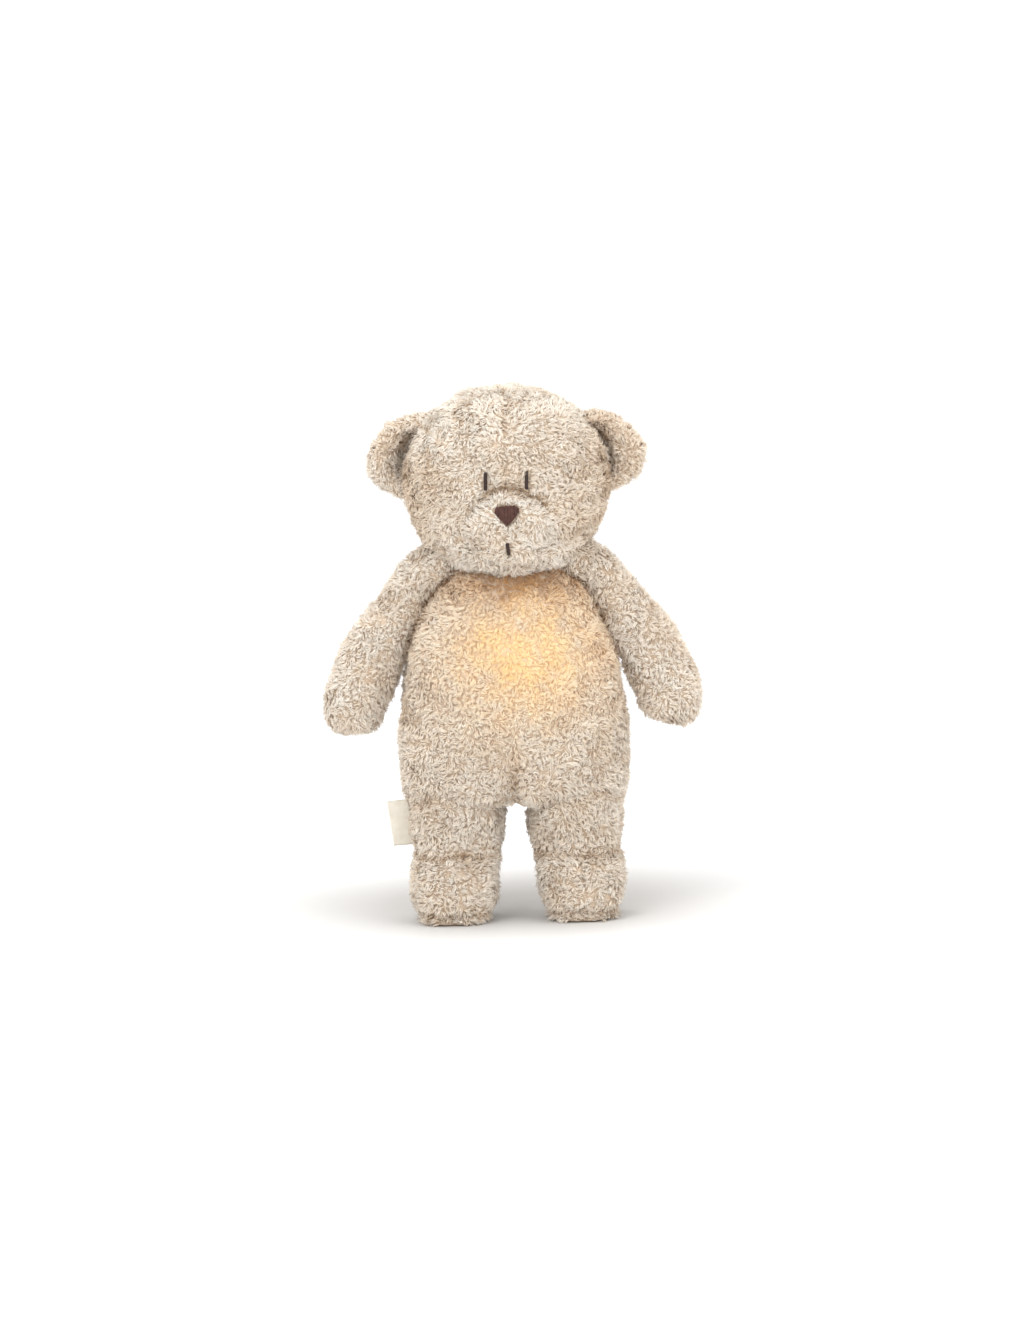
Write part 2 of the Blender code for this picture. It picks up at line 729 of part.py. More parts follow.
def make_torso(shop):
    torso = shop.piece("torso", torso_form("torso"), "plush", shop.root)
    shop.combine(torso, shop.cutter(head_form("neck_seat", GAP, swept=True)))
    for side, word in ((1, "left"), (-1, "right")):
        room = (SHOULDER_RADIUS + GAP) * facet_allowance(LIMB_SEGMENTS) ** 2
        socket = ball(word + "_shoulder_socket", (side * SHOULDER_X, 0, SHOULDER_Z), room)
        shop.combine(torso, shop.cutter(socket))
        shop.combine(torso, shop.cutter(hip_barrel(word + "_hip_socket", side, GAP)))
    pocket = rounded_box(
        "pocket_cut",
        MODULE_HALF_WIDTH + POCKET_MARGIN,
        MODULE_HALF_HEIGHT + POCKET_MARGIN,
        MODULE_CORNER + POCKET_MARGIN,
        MODULE_FRONT_Y - POCKET_MARGIN,
        TORSO_HALF_DEPTH + OVERRUN,
        MODULE_Z,
    )
    shop.combine(torso, shop.cutter(pocket))
    shop.combine(torso, flap_layer(shop, "flap_recess", GAP, OVERRUN, -FLAP_THICKNESS - GAP))
    shop.combine(torso, strip_layer(shop, "strip_recess", GAP, 0.0, -STRIP_DEPTH - GAP))
    shop.combine(torso, flap_turn_room(shop))


def flap_hinge_place():
    return Vector((0, torso_half_depth(FLAP_TOP_Z) + GAP, FLAP_TOP_Z))


def flap_turn_room(shop):
    """The hollow under the flap's top edge, where its curved corners dip as it opens."""
    half = FLAP_HALF_WIDTH + GAP
    start = flap_hinge_place() - Vector((half, 0, 0))
    roll = cylinder("flap_turn_room", start, (1, 0, 0), FLAP_TURN_RADIUS, 2 * half, LIMB_SEGMENTS)
    room = shop.cutter(roll)
    low = (-half - OVERRUN, 0, FLAP_TOP_Z - 2 * FLAP_TURN_RADIUS)
    high = (half + OVERRUN, TORSO_HALF_DEPTH + OVERRUN, FLAP_TOP_Z + GAP)
    shop.combine(room, shop.cutter(box("flap_turn_limit", low, high)), "INTERSECT")
    return room


def flap_layer(shop, name, margin, outer, inner):
    """A layer of the back between two offsets from the torso's skin, within the flap's outline."""
    half_width = FLAP_HALF_WIDTH + margin
    half_height = (FLAP_TOP_Z - FLAP_BOTTOM_Z) / 2 + margin
    middle = (FLAP_TOP_Z + FLAP_BOTTOM_Z) / 2
    corner = FLAP_CORNER + margin
    past_back = TORSO_HALF_DEPTH + 2 * OVERRUN
    outline = rounded_box(name, half_width, half_height, corner, 0, past_back, middle)
    layer = shop.cutter(outline)
    shop.combine(layer, shop.cutter(torso_form(name + "_outside", outer)), "INTERSECT")
    shop.combine(layer, shop.cutter(torso_form(name + "_inside", inner)))
    return layer


def strip_layer(shop, name, margin, outer, inner):
    """A layer of the back between two offsets, within the outline of the touch fastener."""
    low = (-STRIP_HALF_WIDTH - margin, 0, FLAP_BOTTOM_Z + STRIP_RISE - margin)
    high = (
        STRIP_HALF_WIDTH + margin,
        TORSO_HALF_DEPTH + 2 * OVERRUN,
        FLAP_BOTTOM_Z + STRIP_RISE + STRIP_HEIGHT + margin,
    )
    layer = shop.cutter(box(name, low, high))
    shop.combine(layer, shop.cutter(torso_form(name + "_outside", outer)), "INTERSECT")
    shop.combine(layer, shop.cutter(torso_form(name + "_inside", inner)))
    return layer


def adopt(shop, layer, name, material, pivot):
    """Turns a cut layer into a piece of its own, on its pivot."""
    thing = shop.piece(name, layer.data, material, pivot)
    for step in layer.modifiers:
        shop.combine(thing, step.object, step.operation)
    bpy.data.objects.remove(layer)
    return thing


def make_flap(shop, pivot):
    flap = flap_layer(shop, "closure_flap_outline", 0.0, 0.0, -FLAP_THICKNESS)
    adopt(shop, flap, "closure_flap", "flap_plush", pivot)
    hook_outer = -FLAP_THICKNESS - GAP
    hook = strip_layer(shop, "hook_strip_outline", 0.0, hook_outer, hook_outer - STRIP_THICKNESS)
    adopt(shop, hook, "hook_strip", "fastener", pivot)
    loop_outer = hook_outer - STRIP_THICKNESS - GAP
    loop = strip_layer(shop, "loop_strip_outline", 0.0, loop_outer, loop_outer - STRIP_THICKNESS)
    adopt(shop, loop, "loop_strip", "fastener", shop.root)


def make_head(shop, pivot):
    shop.piece("head", head_form("head"), "plush", pivot)
    muzzle = shop.piece("muzzle", muzzle_form("muzzle"), "plush", pivot)
    shop.combine(muzzle, shop.cutter(head_form("head_seat", GAP)))
    nose = shop.piece("nose", nose_outline("nose"), "thread", pivot)
    shop.combine(nose, shop.cutter(muzzle_form("nose_face", NOSE_THICKNESS + GAP)), "INTERSECT")
    shop.combine(nose, shop.cutter(muzzle_form("nose_seat", GAP)))
    shop.combine(nose, shop.cutter(head_form("nose_head_seat", GAP)))
    outline = bar_outline("mouth_stitch", 0.0, MOUTH_Z, MOUTH_HEIGHT)
    mouth = shop.piece("mouth_stitch", outline, "thread", pivot)
    shop.combine(mouth, shop.cutter(muzzle_form("mouth_face", STITCH_THICKNESS + GAP)), "INTERSECT")
    shop.combine(mouth, shop.cutter(muzzle_form("mouth_seat", GAP)))
    for side, word in ((1, "left"), (-1, "right")):
        outline = bar_outline(word + "_eye", side * EYE_HALF_SPACING, EYE_Z, EYE_HEIGHT)
        eye = shop.piece(word + "_eye", outline, "thread", pivot)
        shop.combine(eye, shop.cutter(head_form(word + "_eye_face", STITCH_THICKNESS + GAP)), "INTERSECT")
        shop.combine(eye, shop.cutter(head_form(word + "_eye_seat", GAP)))


def make_ear(shop, head_pivot, side, word):
    hinge = (side * EAR_HINGE_X, EAR_CENTRE_Y, EAR_CENTRE_Z)
    pivot = shop.pivot(word + "_ear_pivot", head_pivot, hinge)
    ear = shop.piece(word + "_ear", ear_form(word + "_ear", side), "plush", pivot)
    for angle in (-EAR_FOLD_DEG, 0.0, EAR_FOLD_DEG):
        seat = head_form(f"{word}_ear_seat_{angle:+.0f}", EAR_SEAT_GAP)
        shop.combine(ear, shop.cutter(seat, turned_about(hinge, "Z", angle)))


def make_arm(shop, side, word):
    pivot = shop.pivot(word + "_arm_pivot", shop.root, (side * SHOULDER_X, 0, SHOULDER_Z))
    arm = shop.piece(word + "_arm", arm_form(word + "_arm", side), "plush", pivot)
    shop.combine(arm, shop.cutter(torso_form(word + "_arm_seat", GAP)))
    root = ball(word + "_arm_root", (side * SHOULDER_X, 0, SHOULDER_Z), SHOULDER_RADIUS)
    shop.combine(arm, shop.cutter(root), "UNION")


def make_leg(shop, side, word):
    pivot = shop.pivot(word + "_leg_pivot", shop.root, (side * HIP_X, 0, HIP_Z))
    leg = shop.piece(word + "_leg", leg_form(word + "_leg", side), "plush", pivot)
    shop.combine(leg, shop.cutter(hip_barrel(word + "_hip_barrel", side)), "UNION")
    floor = box(
        word + "_ankle_cut",
        (side * HIP_X - LEG_HALF_WIDTH - OVERRUN, -HIP_RADIUS - OVERRUN, 0),
        (side * HIP_X + LEG_HALF_WIDTH + OVERRUN, HIP_RADIUS + OVERRUN, ANKLE_Z + GAP),
    )
    shop.combine(leg, shop.cutter(floor))
    shop.piece(word + "_foot", foot_form(word + "_foot", side), "plush", pivot)
    shop.piece(word + "_sole", sole_form(word + "_sole", side), "plush", pivot)
    return pivot


def make_label(shop, pivot):
    edge_x = -(HIP_X + LEG_HALF_WIDTH)
    low = (edge_x - LABEL_REACH, -LABEL_THICKNESS / 2, LABEL_Z - LABEL_HEIGHT / 2)
    high = (edge_x + LABEL_REACH / 2, LABEL_THICKNESS / 2, LABEL_Z + LABEL_HEIGHT / 2)
    mesh = box("side_label", low, high)
    mesh.transform(turned_about((edge_x, 0, LABEL_Z), "Y", -LABEL_TILT_DEG))
    label = shop.piece("side_label", mesh, "label", pivot)
    shop.combine(label, shop.cutter(hip_barrel("label_barrel_seat", -1, GAP)))
    rings = []
    for height, width, depth in smooth_rows(LEG_SHARES, LEG_RINGS):
        z = ANKLE_Z - OVERRUN + (HIP_Z - ANKLE_Z + OVERRUN) * height
        rings.append(level_ring(-HIP_X, 0, z, LEG_HALF_WIDTH * width + GAP, HIP_RADIUS * depth + GAP))
    shop.combine(label, shop.cutter(loft("label_leg_seat", rings, LIMB_SEGMENTS, LEG_POWER)))
    shop.combine(label, shop.cutter(torso_form("label_torso_seat", 2 * GAP)))


# The light module


def module_box(name, inset, front_y, back_y, edge=0.0, edge_end=-1):
    return rounded_box(
        name,
        MODULE_HALF_WIDTH - inset,
        MODULE_HALF_HEIGHT - inset,
        MODULE_CORNER - inset,
        front_y,
        back_y,
        MODULE_Z,
        edge,
        edge_end,
    )


def module_block(name, half_width, low_rise, high_rise, front_y, back_y):
    low = (-half_width, front_y, MODULE_Z + low_rise)
    high = (half_width, back_y, MODULE_Z + high_rise)
    return box(name, low, high)


def screw_places():
    return [(side * BOSS_X, MODULE_Z + rise) for side in (1, -1) for rise in BOSS_RISES]


def module_turned(name, profile, x, y, rise, segments=ROUND_SEGMENTS):
    """Turned about Y at a place on the module, with the profile's Y places towards the front."""
    towards_front = [(radius, -place) for radius, place in profile]
    return turned(name, towards_front, (x, y, MODULE_Z + rise), segments)


def make_liner(shop):
    reach = GAP + LINER_THICKNESS
    outer = module_box("pocket_liner", -reach, MODULE_FRONT_Y - reach, MODULE_BACK_Y)
    liner = shop.piece("pocket_liner", outer, "lining", shop.root)
    inner = module_box("liner_room", -GAP, MODULE_FRONT_Y - GAP, MODULE_BACK_Y + OVERRUN)
    shop.combine(liner, shop.cutter(inner))


def make_diffuser(shop):
    outer = module_box("front_diffuser", 0.0, MODULE_FRONT_Y, MODULE_SPLIT_Y, MODULE_EDGE)
    shell = shop.piece("front_diffuser", outer, "diffuser", shop.root)
    inner_edge = MODULE_EDGE - MODULE_WALL
    room = module_box(
        "diffuser_room", MODULE_WALL, MODULE_FRONT_Y + MODULE_WALL, MODULE_SPLIT_Y + OVERRUN, inner_edge
    )
    shop.combine(shell, shop.cutter(room))
    for number, (x, z) in enumerate(screw_places(), 1):
        start = (x, MODULE_FRONT_Y + MODULE_WALL / 2, z)
        length = BOARD_FRONT_Y - GAP - start[1]
        post = cylinder(f"front_post_{number}", start, (0, 1, 0), BOSS_RADIUS, length)
        shop.combine(shell, shop.cutter(post), "UNION")
        hole_start = (x, MODULE_FRONT_Y + 2 * MODULE_WALL, z)
        hole = cylinder(
            f"front_post_hole_{number}", hole_start, (0, 1, 0), SCREW_RADIUS + GAP, length, SMALL_SEGMENTS
        )
        shop.combine(shell, shop.cutter(hole))
    for step in range(SPEAKER_SLOTS):
        rise = -SPEAKER_DROP + SLOT_PITCH * (step - (SPEAKER_SLOTS - 1) / 2)
        slot = module_block(
            f"speaker_slot_{step + 1}",
            SLOT_LENGTH / 2,
            rise - SLOT_WIDTH / 2,
            rise + SLOT_WIDTH / 2,
            MODULE_FRONT_Y - OVERRUN,
            MODULE_FRONT_Y + MODULE_WALL + GAP,
        )
        shop.combine(shell, shop.cutter(slot))


def make_housing(shop):
    front = MODULE_SPLIT_Y + GAP
    outer = module_box("rear_housing", 0.0, front, MODULE_BACK_Y, MODULE_WALL, 1)
    shell = shop.piece("rear_housing", outer, "housing", shop.root)
    inside_back = MODULE_BACK_Y - MODULE_WALL
    shop.combine(shell, shop.cutter(module_box("housing_room", MODULE_WALL, front - OVERRUN, inside_back)))
    tub = module_block(
        "battery_tub",
        BAY_HALF_WIDTH + BAY_WALL,
        BAY_BOTTOM - BAY_WALL,
        BAY_TOP + BAY_WALL,
        BAY_FLOOR_Y - BAY_WALL,
        inside_back + MODULE_WALL / 2,
    )
    shop.combine(shell, shop.cutter(tub), "UNION")
    boss_back = inside_back + MODULE_WALL / 2
    boss_front = BOARD_FRONT_Y + BOARD_THICKNESS + GAP
    for number, (x, z) in enumerate(screw_places(), 1):
        boss = cylinder(f"boss_{number}", (x, boss_back, z), (0, -1, 0), BOSS_RADIUS, boss_back - boss_front)
        shop.combine(shell, shop.cutter(boss), "UNION")
    door_boss = (0, boss_back, MODULE_Z + BAY_TOP + DOOR_SCREW_RISE)
    boss = cylinder("door_boss", door_boss, (0, -1, 0), SCREW_HEAD_RADIUS + GAP, DOOR_SCREW_LENGTH)
    shop.combine(shell, shop.cutter(boss), "UNION")
    past_back = MODULE_BACK_Y + OVERRUN
    bay = module_block("battery_bay", BAY_HALF_WIDTH, BAY_BOTTOM, BAY_TOP, BAY_FLOOR_Y, past_back)
    shop.combine(shell, shop.cutter(bay))
    door_seat = MODULE_BACK_Y - DOOR_THICKNESS - GAP
    recess = module_block(
        "door_recess",
        BAY_HALF_WIDTH + DOOR_LIP,
        BAY_BOTTOM - DOOR_LIP,
        BAY_TOP + DOOR_LIP,
        door_seat,
        past_back,
    )
    shop.combine(shell, shop.cutter(recess))
    tab_top = BAY_TOP + DOOR_TAB_HEIGHT + GAP
    tab = module_block("tab_recess", DOOR_TAB_HALF_WIDTH + GAP, BAY_TOP, tab_top, door_seat, past_back)
    shop.combine(shell, shop.cutter(tab))
    for number, (x, z) in enumerate(screw_places(), 1):
        hole = cylinder(
            f"boss_hole_{number}",
            (x, past_back, z),
            (0, -1, 0),
            SCREW_RADIUS + GAP,
            past_back - boss_front + OVERRUN,
            SMALL_SEGMENTS,
        )
        shop.combine(shell, shop.cutter(hole))
        depth = OVERRUN + SCREW_HEAD_HEIGHT + GAP
        start = (x, past_back, z)
        sink = cylinder(f"screw_sink_{number}", start, (0, -1, 0), SCREW_HEAD_RADIUS + GAP, depth)
        shop.combine(shell, shop.cutter(sink))
    hole = cylinder(
        "door_boss_hole",
        (0, past_back, door_boss[2]),
        (0, -1, 0),
        SCREW_RADIUS + GAP,
        OVERRUN + DOOR_SCREW_LENGTH,
        SMALL_SEGMENTS,
    )
    shop.combine(shell, shop.cutter(hole))
    for name, x in BUTTON_PLACES:
        start = (x, past_back, MODULE_Z + CONTROL_RISE)
        hole = cylinder(name + "_hole", start, (0, -1, 0), BUTTON_RADIUS + GAP, OVERRUN + 2 * MODULE_WALL)
        shop.combine(shell, shop.cutter(hole))
    slot_half = SWITCH_TRAVEL / 2 + SWITCH_HALF_WIDTH + GAP
    slot = module_block(
        "switch_slot",
        slot_half,
        CONTROL_RISE - SWITCH_HALF_HEIGHT - GAP,
        CONTROL_RISE + SWITCH_HALF_HEIGHT + GAP,
        inside_back - MODULE_WALL,
        past_back,
    )
    shop.combine(shell, shop.cutter(slot))


def make_door(shop):
    front = MODULE_BACK_Y - DOOR_THICKNESS
    plate = module_block(
        "battery_door",
        BAY_HALF_WIDTH + DOOR_LIP - GAP,
        BAY_BOTTOM - DOOR_LIP + GAP,
        BAY_TOP + DOOR_LIP - GAP,
        front,
        MODULE_BACK_Y,
    )
    door = shop.piece("battery_door", plate, "housing", shop.root)
    tab = module_block(
        "door_tab", DOOR_TAB_HALF_WIDTH, BAY_TOP, BAY_TOP + DOOR_TAB_HEIGHT, front, MODULE_BACK_Y
    )
    shop.combine(door, shop.cutter(tab), "UNION")
    z = MODULE_Z + BAY_TOP + DOOR_SCREW_RISE
    start = (0, MODULE_BACK_Y + OVERRUN, z)
    hole = cylinder("door_hole", start, (0, -1, 0), SCREW_RADIUS + GAP, 3 * OVERRUN, SMALL_SEGMENTS)
    shop.combine(door, shop.cutter(hole))
    make_screw(shop, "door_screw", 0, z, MODULE_BACK_Y + GAP, DOOR_SCREW_LENGTH)


def make_screw(shop, name, x, z, seat_y, length):
    """A pan-head screw that goes in from the back, its head on a seat."""
    slot_depth = SCREW_HEAD_HEIGHT / 2
    profile = (
        (0.0, -length),
        (SCREW_RADIUS / 2, -length),
        (SCREW_RADIUS, -length + SCREW_RADIUS),
        (SCREW_RADIUS, 0.0),
        (SCREW_HEAD_RADIUS, 0.0),
        (SCREW_HEAD_RADIUS, slot_depth),
        (SCREW_HEAD_RADIUS - slot_depth, SCREW_HEAD_HEIGHT),
        (SCREW_RADIUS / 2, SCREW_HEAD_HEIGHT),
        (0.0, slot_depth),
    )
    mesh = turned(name, profile, (x, seat_y, z), SMALL_SEGMENTS)
    shop.piece(name, mesh, "steel", shop.root)


def make_screws(shop):
    seat = MODULE_BACK_Y - SCREW_HEAD_HEIGHT
    length = seat - MODULE_FRONT_Y - 2 * MODULE_WALL - 2 * SCREW_HEAD_HEIGHT
    for number, (x, z) in enumerate(screw_places(), 1):
        make_screw(shop, f"housing_screw_{number}", x, z, seat, length)


def make_board(shop):
    inset = MODULE_WALL + BOARD_MARGIN
    back = BOARD_FRONT_Y + BOARD_THICKNESS
    plate = module_box("circuit_board", inset, BOARD_FRONT_Y, back)
    board = shop.piece("circuit_board", plate, "board", shop.root)
    for number, (x, z) in enumerate(screw_places(), 1):
        start = (x, back + OVERRUN, z)
        name = f"board_hole_{number}"
        hole = cylinder(name, start, (0, -1, 0), SCREW_RADIUS + GAP, 3 * OVERRUN, SMALL_SEGMENTS)
        shop.combine(board, shop.cutter(hole))
    seat = BOARD_FRONT_Y - GAP
    for number in range(1, LED_COUNT + 1):
        x = LED_PITCH * (number - (LED_COUNT + 1) / 2)
        straight = LED_LENGTH - LED_RADIUS
        dome = [
            (LED_RADIUS * math.cos(angle), straight + LED_RADIUS * math.sin(angle))
            for angle in (0.0, math.pi / 6, math.pi / 3)
        ]
        rim = LED_RADIUS + GAP
        foot = [(0.0, 0.0), (rim, 0.0), (rim, LED_FLANGE), (LED_RADIUS, LED_FLANGE)]
        profile = [*foot, *dome, (0.0, LED_LENGTH)]
        mesh = module_turned(f"led_{number}", profile, x, seat, LED_RISE, SMALL_SEGMENTS)
        shop.piece(f"led_{number}", mesh, "led", shop.root)
    profile = [
        (0.0, 0.0),
        (MICROPHONE_RADIUS, 0.0),
        (MICROPHONE_RADIUS, MICROPHONE_LENGTH),
        (MICROPHONE_RADIUS / 3, MICROPHONE_LENGTH),
        (0.0, MICROPHONE_LENGTH - GAP),
    ]
    mesh = module_turned("microphone", profile, 0, seat, MICROPHONE_RISE, SMALL_SEGMENTS)
    shop.piece("microphone", mesh, "steel", shop.root)


def make_speaker(shop):
    seat = BOARD_FRONT_Y - GAP
    wall = 3 * GAP
    waist = SPEAKER_DEPTH * SPEAKER_WAIST_SHARE
    rim = SPEAKER_RADIUS * SPEAKER_RIM_SHARE
    frame_profile = (
        (0.0, 0.0),
        (SPEAKER_MAGNET_RADIUS, 0.0),
        (SPEAKER_MAGNET_RADIUS, waist),
        (rim, SPEAKER_DEPTH - 2 * wall),
        (SPEAKER_RADIUS, SPEAKER_DEPTH - 2 * wall),
        (SPEAKER_RADIUS, SPEAKER_DEPTH),
        (rim, SPEAKER_DEPTH),
        (rim - wall, SPEAKER_DEPTH - wall),
        (SPEAKER_MAGNET_RADIUS - wall, waist + wall),
        (0.0, waist + wall),
    )
    mesh = module_turned("speaker_frame", frame_profile, 0, seat, -SPEAKER_DROP)
    shop.piece("speaker_frame", mesh, "speaker", shop.root)
    cap = SPEAKER_MAGNET_RADIUS / 2
    cone_profile = (
        (0.0, waist + wall + GAP),
        (SPEAKER_MAGNET_RADIUS - 2 * wall, waist + wall + GAP),
        (rim - 2 * wall, SPEAKER_DEPTH - wall + GAP),
        (rim - wall, SPEAKER_DEPTH + GAP),
        (SPEAKER_RADIUS - GAP, SPEAKER_DEPTH + GAP),
        (SPEAKER_RADIUS - GAP, SPEAKER_DEPTH + 2 * GAP),
        (rim - wall, SPEAKER_DEPTH + wall),
        (rim - 2 * wall, SPEAKER_DEPTH + GAP),
        (cap, waist + 2 * wall),
        (cap / 2, waist + 3 * wall),
        (0.0, waist + 3 * wall + GAP),
    )
    mesh = module_turned("speaker_cone", cone_profile, 0, seat, -SPEAKER_DROP)
    shop.piece("speaker_cone", mesh, "button", shop.root)


def spring_points(x, low, per_turn=8):
    """A conical coil, with the points of its centre line."""
    count = SPRING_TURNS * per_turn + 1
    rise = SPRING_LENGTH - 2 * SPRING_WIRE
    points = []
    for step in range(count):
        share = step / (count - 1)
        angle = math.tau * step / per_turn
        radius = SPRING_RADIUS * (1 - share / 3)
        around = Vector((radius * math.cos(angle), radius * math.sin(angle), rise * share))
        points.append(Vector((x, CELL_Y, low + SPRING_WIRE)) + around)
    return points


def least_coil_gap(points, per_turn=8):
    pairs = (
        (first - second).length
        for index, first in enumerate(points)
        for second in points[index + per_turn // 2 :]
    )
    return min(pairs) - 2 * SPRING_WIRE


def make_batteries(shop):
    low = MODULE_Z + BAY_BOTTOM + GAP
    cell_low = low + SPRING_LENGTH + GAP
    shoulder = cell_low + CELL_LENGTH - CELL_BUTTON_HEIGHT
    bevel = CELL_RADIUS / 10
    for number in range(1, CELL_COUNT + 1):
        x = CELL_PITCH * (number - (CELL_COUNT + 1) / 2)
        heights = (
            (cell_low, CELL_RADIUS - bevel),
            (cell_low + bevel, CELL_RADIUS),
            (shoulder - bevel, CELL_RADIUS),
            (shoulder, CELL_RADIUS - bevel),
            (shoulder, CELL_BUTTON_RADIUS),
            (cell_low + CELL_LENGTH, CELL_BUTTON_RADIUS - bevel / 2),
        )
        rings = [level_ring(x, CELL_Y, z, radius, radius) for z, radius in heights]
        name = f"battery_{number}"
        shop.piece(name, loft(name, rings, ROUND_SEGMENTS, 2.0), "cell", shop.root)
        points = spring_points(x, low)
        curve = bpy.data.curves.new(f"battery_spring_{number}", "CURVE")
        curve.dimensions = "3D"
        curve.bevel_depth = SPRING_WIRE
        curve.bevel_resolution = 0
        curve.use_fill_caps = True
        spline = curve.splines.new("POLY")
        spline.points.add(len(points) - 1)
        for spot, place in zip(spline.points, points):
            spot.co = (*place, 1.0)
        curve.materials.append(shop.materials["steel"])
        spring = bpy.data.objects.new(f"battery_spring_{number}", curve)
        shop.parts.objects.link(spring)
        spring.parent = shop.root
    print(f"battery springs: least gap between turns {least_coil_gap(points) / MM:.2f} mm")
    plate_top = MODULE_Z + BAY_TOP - GAP
    half = BAY_HALF_WIDTH - GAP
    start = (-half, BAY_FLOOR_Y + GAP, plate_top - CONTACT_THICKNESS)
    plate = box("contact_plate", start, (half, CELL_Y + CELL_BUTTON_RADIUS * 2, plate_top))
    shop.piece("contact_plate", plate, "steel", shop.root)


def make_controls(shop):
    inside_back = MODULE_BACK_Y - MODULE_WALL
    flange_back = inside_back - GAP
    z = MODULE_Z + CONTROL_RISE
    top = MODULE_BACK_Y + BUTTON_PROUD - flange_back
    dip = BUTTON_PROUD / 4
    for name, x in BUTTON_PLACES:
        pivot = shop.pivot(name + "_guide", shop.root, (x, MODULE_BACK_Y, z))
        profile = (
            (0.0, -SWITCH_FLANGE_RISE),
            (BUTTON_RADIUS + BUTTON_FLANGE, -SWITCH_FLANGE_RISE),
            (BUTTON_RADIUS + BUTTON_FLANGE, 0.0),
            (BUTTON_RADIUS, 0.0),
            (BUTTON_RADIUS, top - dip),
            (BUTTON_RADIUS - dip, top),
            (BUTTON_RADIUS / 2, top - dip / 2),
            (0.0, top - dip),
        )
        shop.piece(name, turned(name, profile, (x, flange_back, z), ROUND_SEGMENTS), "button", pivot)
    x = SWITCH_TRAVEL / 2
    pivot = shop.pivot("power_switch_guide", shop.root, (x, MODULE_BACK_Y, z))
    half = SWITCH_HALF_WIDTH
    knob_low = (x - half, flange_back - SWITCH_FLANGE_RISE, z - SWITCH_HALF_HEIGHT)
    knob_high = (x + half, MODULE_BACK_Y + SWITCH_PROUD, z + SWITCH_HALF_HEIGHT)
    switch = shop.piece("power_switch", box("power_switch", knob_low, knob_high), "button", pivot)
    wide = half + SWITCH_FLANGE
    tall = SWITCH_HALF_HEIGHT + SWITCH_FLANGE_RISE
    plate_low = (x - wide, flange_back - SWITCH_FLANGE_RISE, z - tall)
    plate_high = (x + wide, flange_back, z + tall)
    shop.combine(switch, shop.cutter(box("switch_plate", plate_low, plate_high)), "UNION")


def make_module(shop):
    make_liner(shop)
    make_diffuser(shop)
    make_housing(shop)
    make_door(shop)
    make_screws(shop)
    make_board(shop)
    make_speaker(shop)
    make_batteries(shop)
    make_controls(shop)


def main():
    clear_scene()
    shop = Workshop()
    make_torso(shop)
    head_pivot = shop.pivot("head_pivot", shop.root, (0, 0, HEAD_BOTTOM_Z))
    make_head(shop, head_pivot)
    for side, word in ((1, "left"), (-1, "right")):
        make_ear(shop, head_pivot, side, word)
        make_arm(shop, side, word)
        leg_pivot = make_leg(shop, side, word)
        if side < 0:
            make_label(shop, leg_pivot)
    make_flap(shop, shop.pivot("flap_pivot", shop.root, flap_hinge_place()))
    make_module(shop)


main()
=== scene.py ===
"""Looks of the plush night light: teddy pile, stitching, label, lining, the glow and the studio."""

import json
import math

import bmesh
import bpy
import numpy as np
from mathutils import Matrix, Vector
from mathutils.kdtree import KDTree


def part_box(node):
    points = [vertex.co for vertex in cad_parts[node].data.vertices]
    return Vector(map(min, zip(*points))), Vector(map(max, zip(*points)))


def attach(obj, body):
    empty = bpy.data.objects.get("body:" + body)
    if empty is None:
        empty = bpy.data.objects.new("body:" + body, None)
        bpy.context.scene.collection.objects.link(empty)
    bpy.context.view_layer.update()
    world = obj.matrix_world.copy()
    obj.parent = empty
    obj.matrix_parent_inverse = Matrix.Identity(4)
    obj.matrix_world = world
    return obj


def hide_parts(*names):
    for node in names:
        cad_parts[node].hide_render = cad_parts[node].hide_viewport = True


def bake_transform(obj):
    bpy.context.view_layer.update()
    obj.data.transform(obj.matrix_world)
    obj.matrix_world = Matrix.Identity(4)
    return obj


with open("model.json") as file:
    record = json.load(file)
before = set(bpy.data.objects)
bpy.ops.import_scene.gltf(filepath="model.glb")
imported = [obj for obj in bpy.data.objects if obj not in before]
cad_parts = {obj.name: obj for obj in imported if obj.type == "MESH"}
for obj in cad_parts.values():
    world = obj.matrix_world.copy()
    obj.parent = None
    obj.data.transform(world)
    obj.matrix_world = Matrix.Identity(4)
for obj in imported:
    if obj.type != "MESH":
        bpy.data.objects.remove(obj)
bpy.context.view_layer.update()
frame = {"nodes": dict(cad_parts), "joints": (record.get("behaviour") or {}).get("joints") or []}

MM = 0.001
# The bear faces -y, so its left is on +x.
SIDES = ((1, "left"), (-1, "right"))
HINGES = {joint["name"]: joint.get("pos_m") for joint in frame["joints"]}
MIDDLE_Y = HINGES["head_turn"][1]
DOWN = (0.0, 0.0, -1.0)

# The glow of the module through the belly, seen from the front.
GLOW_X = 7.0 * MM
GLOW_Z = 150.0 * MM
GLOW_HALF_WIDTH = 39.2 * MM
GLOW_HALF_HEIGHT = 36.9 * MM
GLOW_HALF_DEPTH = 40.0 * MM
GLOW_STRENGTH = 0.262


# Numbers and fields


def smooth_rows(table, count):
    """A table read at evenly spaced places on a smooth curve through its rows."""
    table = np.array(table, float)
    last = len(table) - 1
    place_in = np.linspace(0, last, count)
    row = np.minimum(place_in.astype(int), last - 1)
    share = (place_in - row)[:, None]
    before, start, end, after = (table[np.clip(row + step, 0, last)] for step in (-1, 0, 1, 2))
    cubic = 3 * (start - end) + after - before
    square = 2 * before - 5 * start + 4 * end - after
    return start + 0.5 * share * (end - before + share * (square + share * cubic))


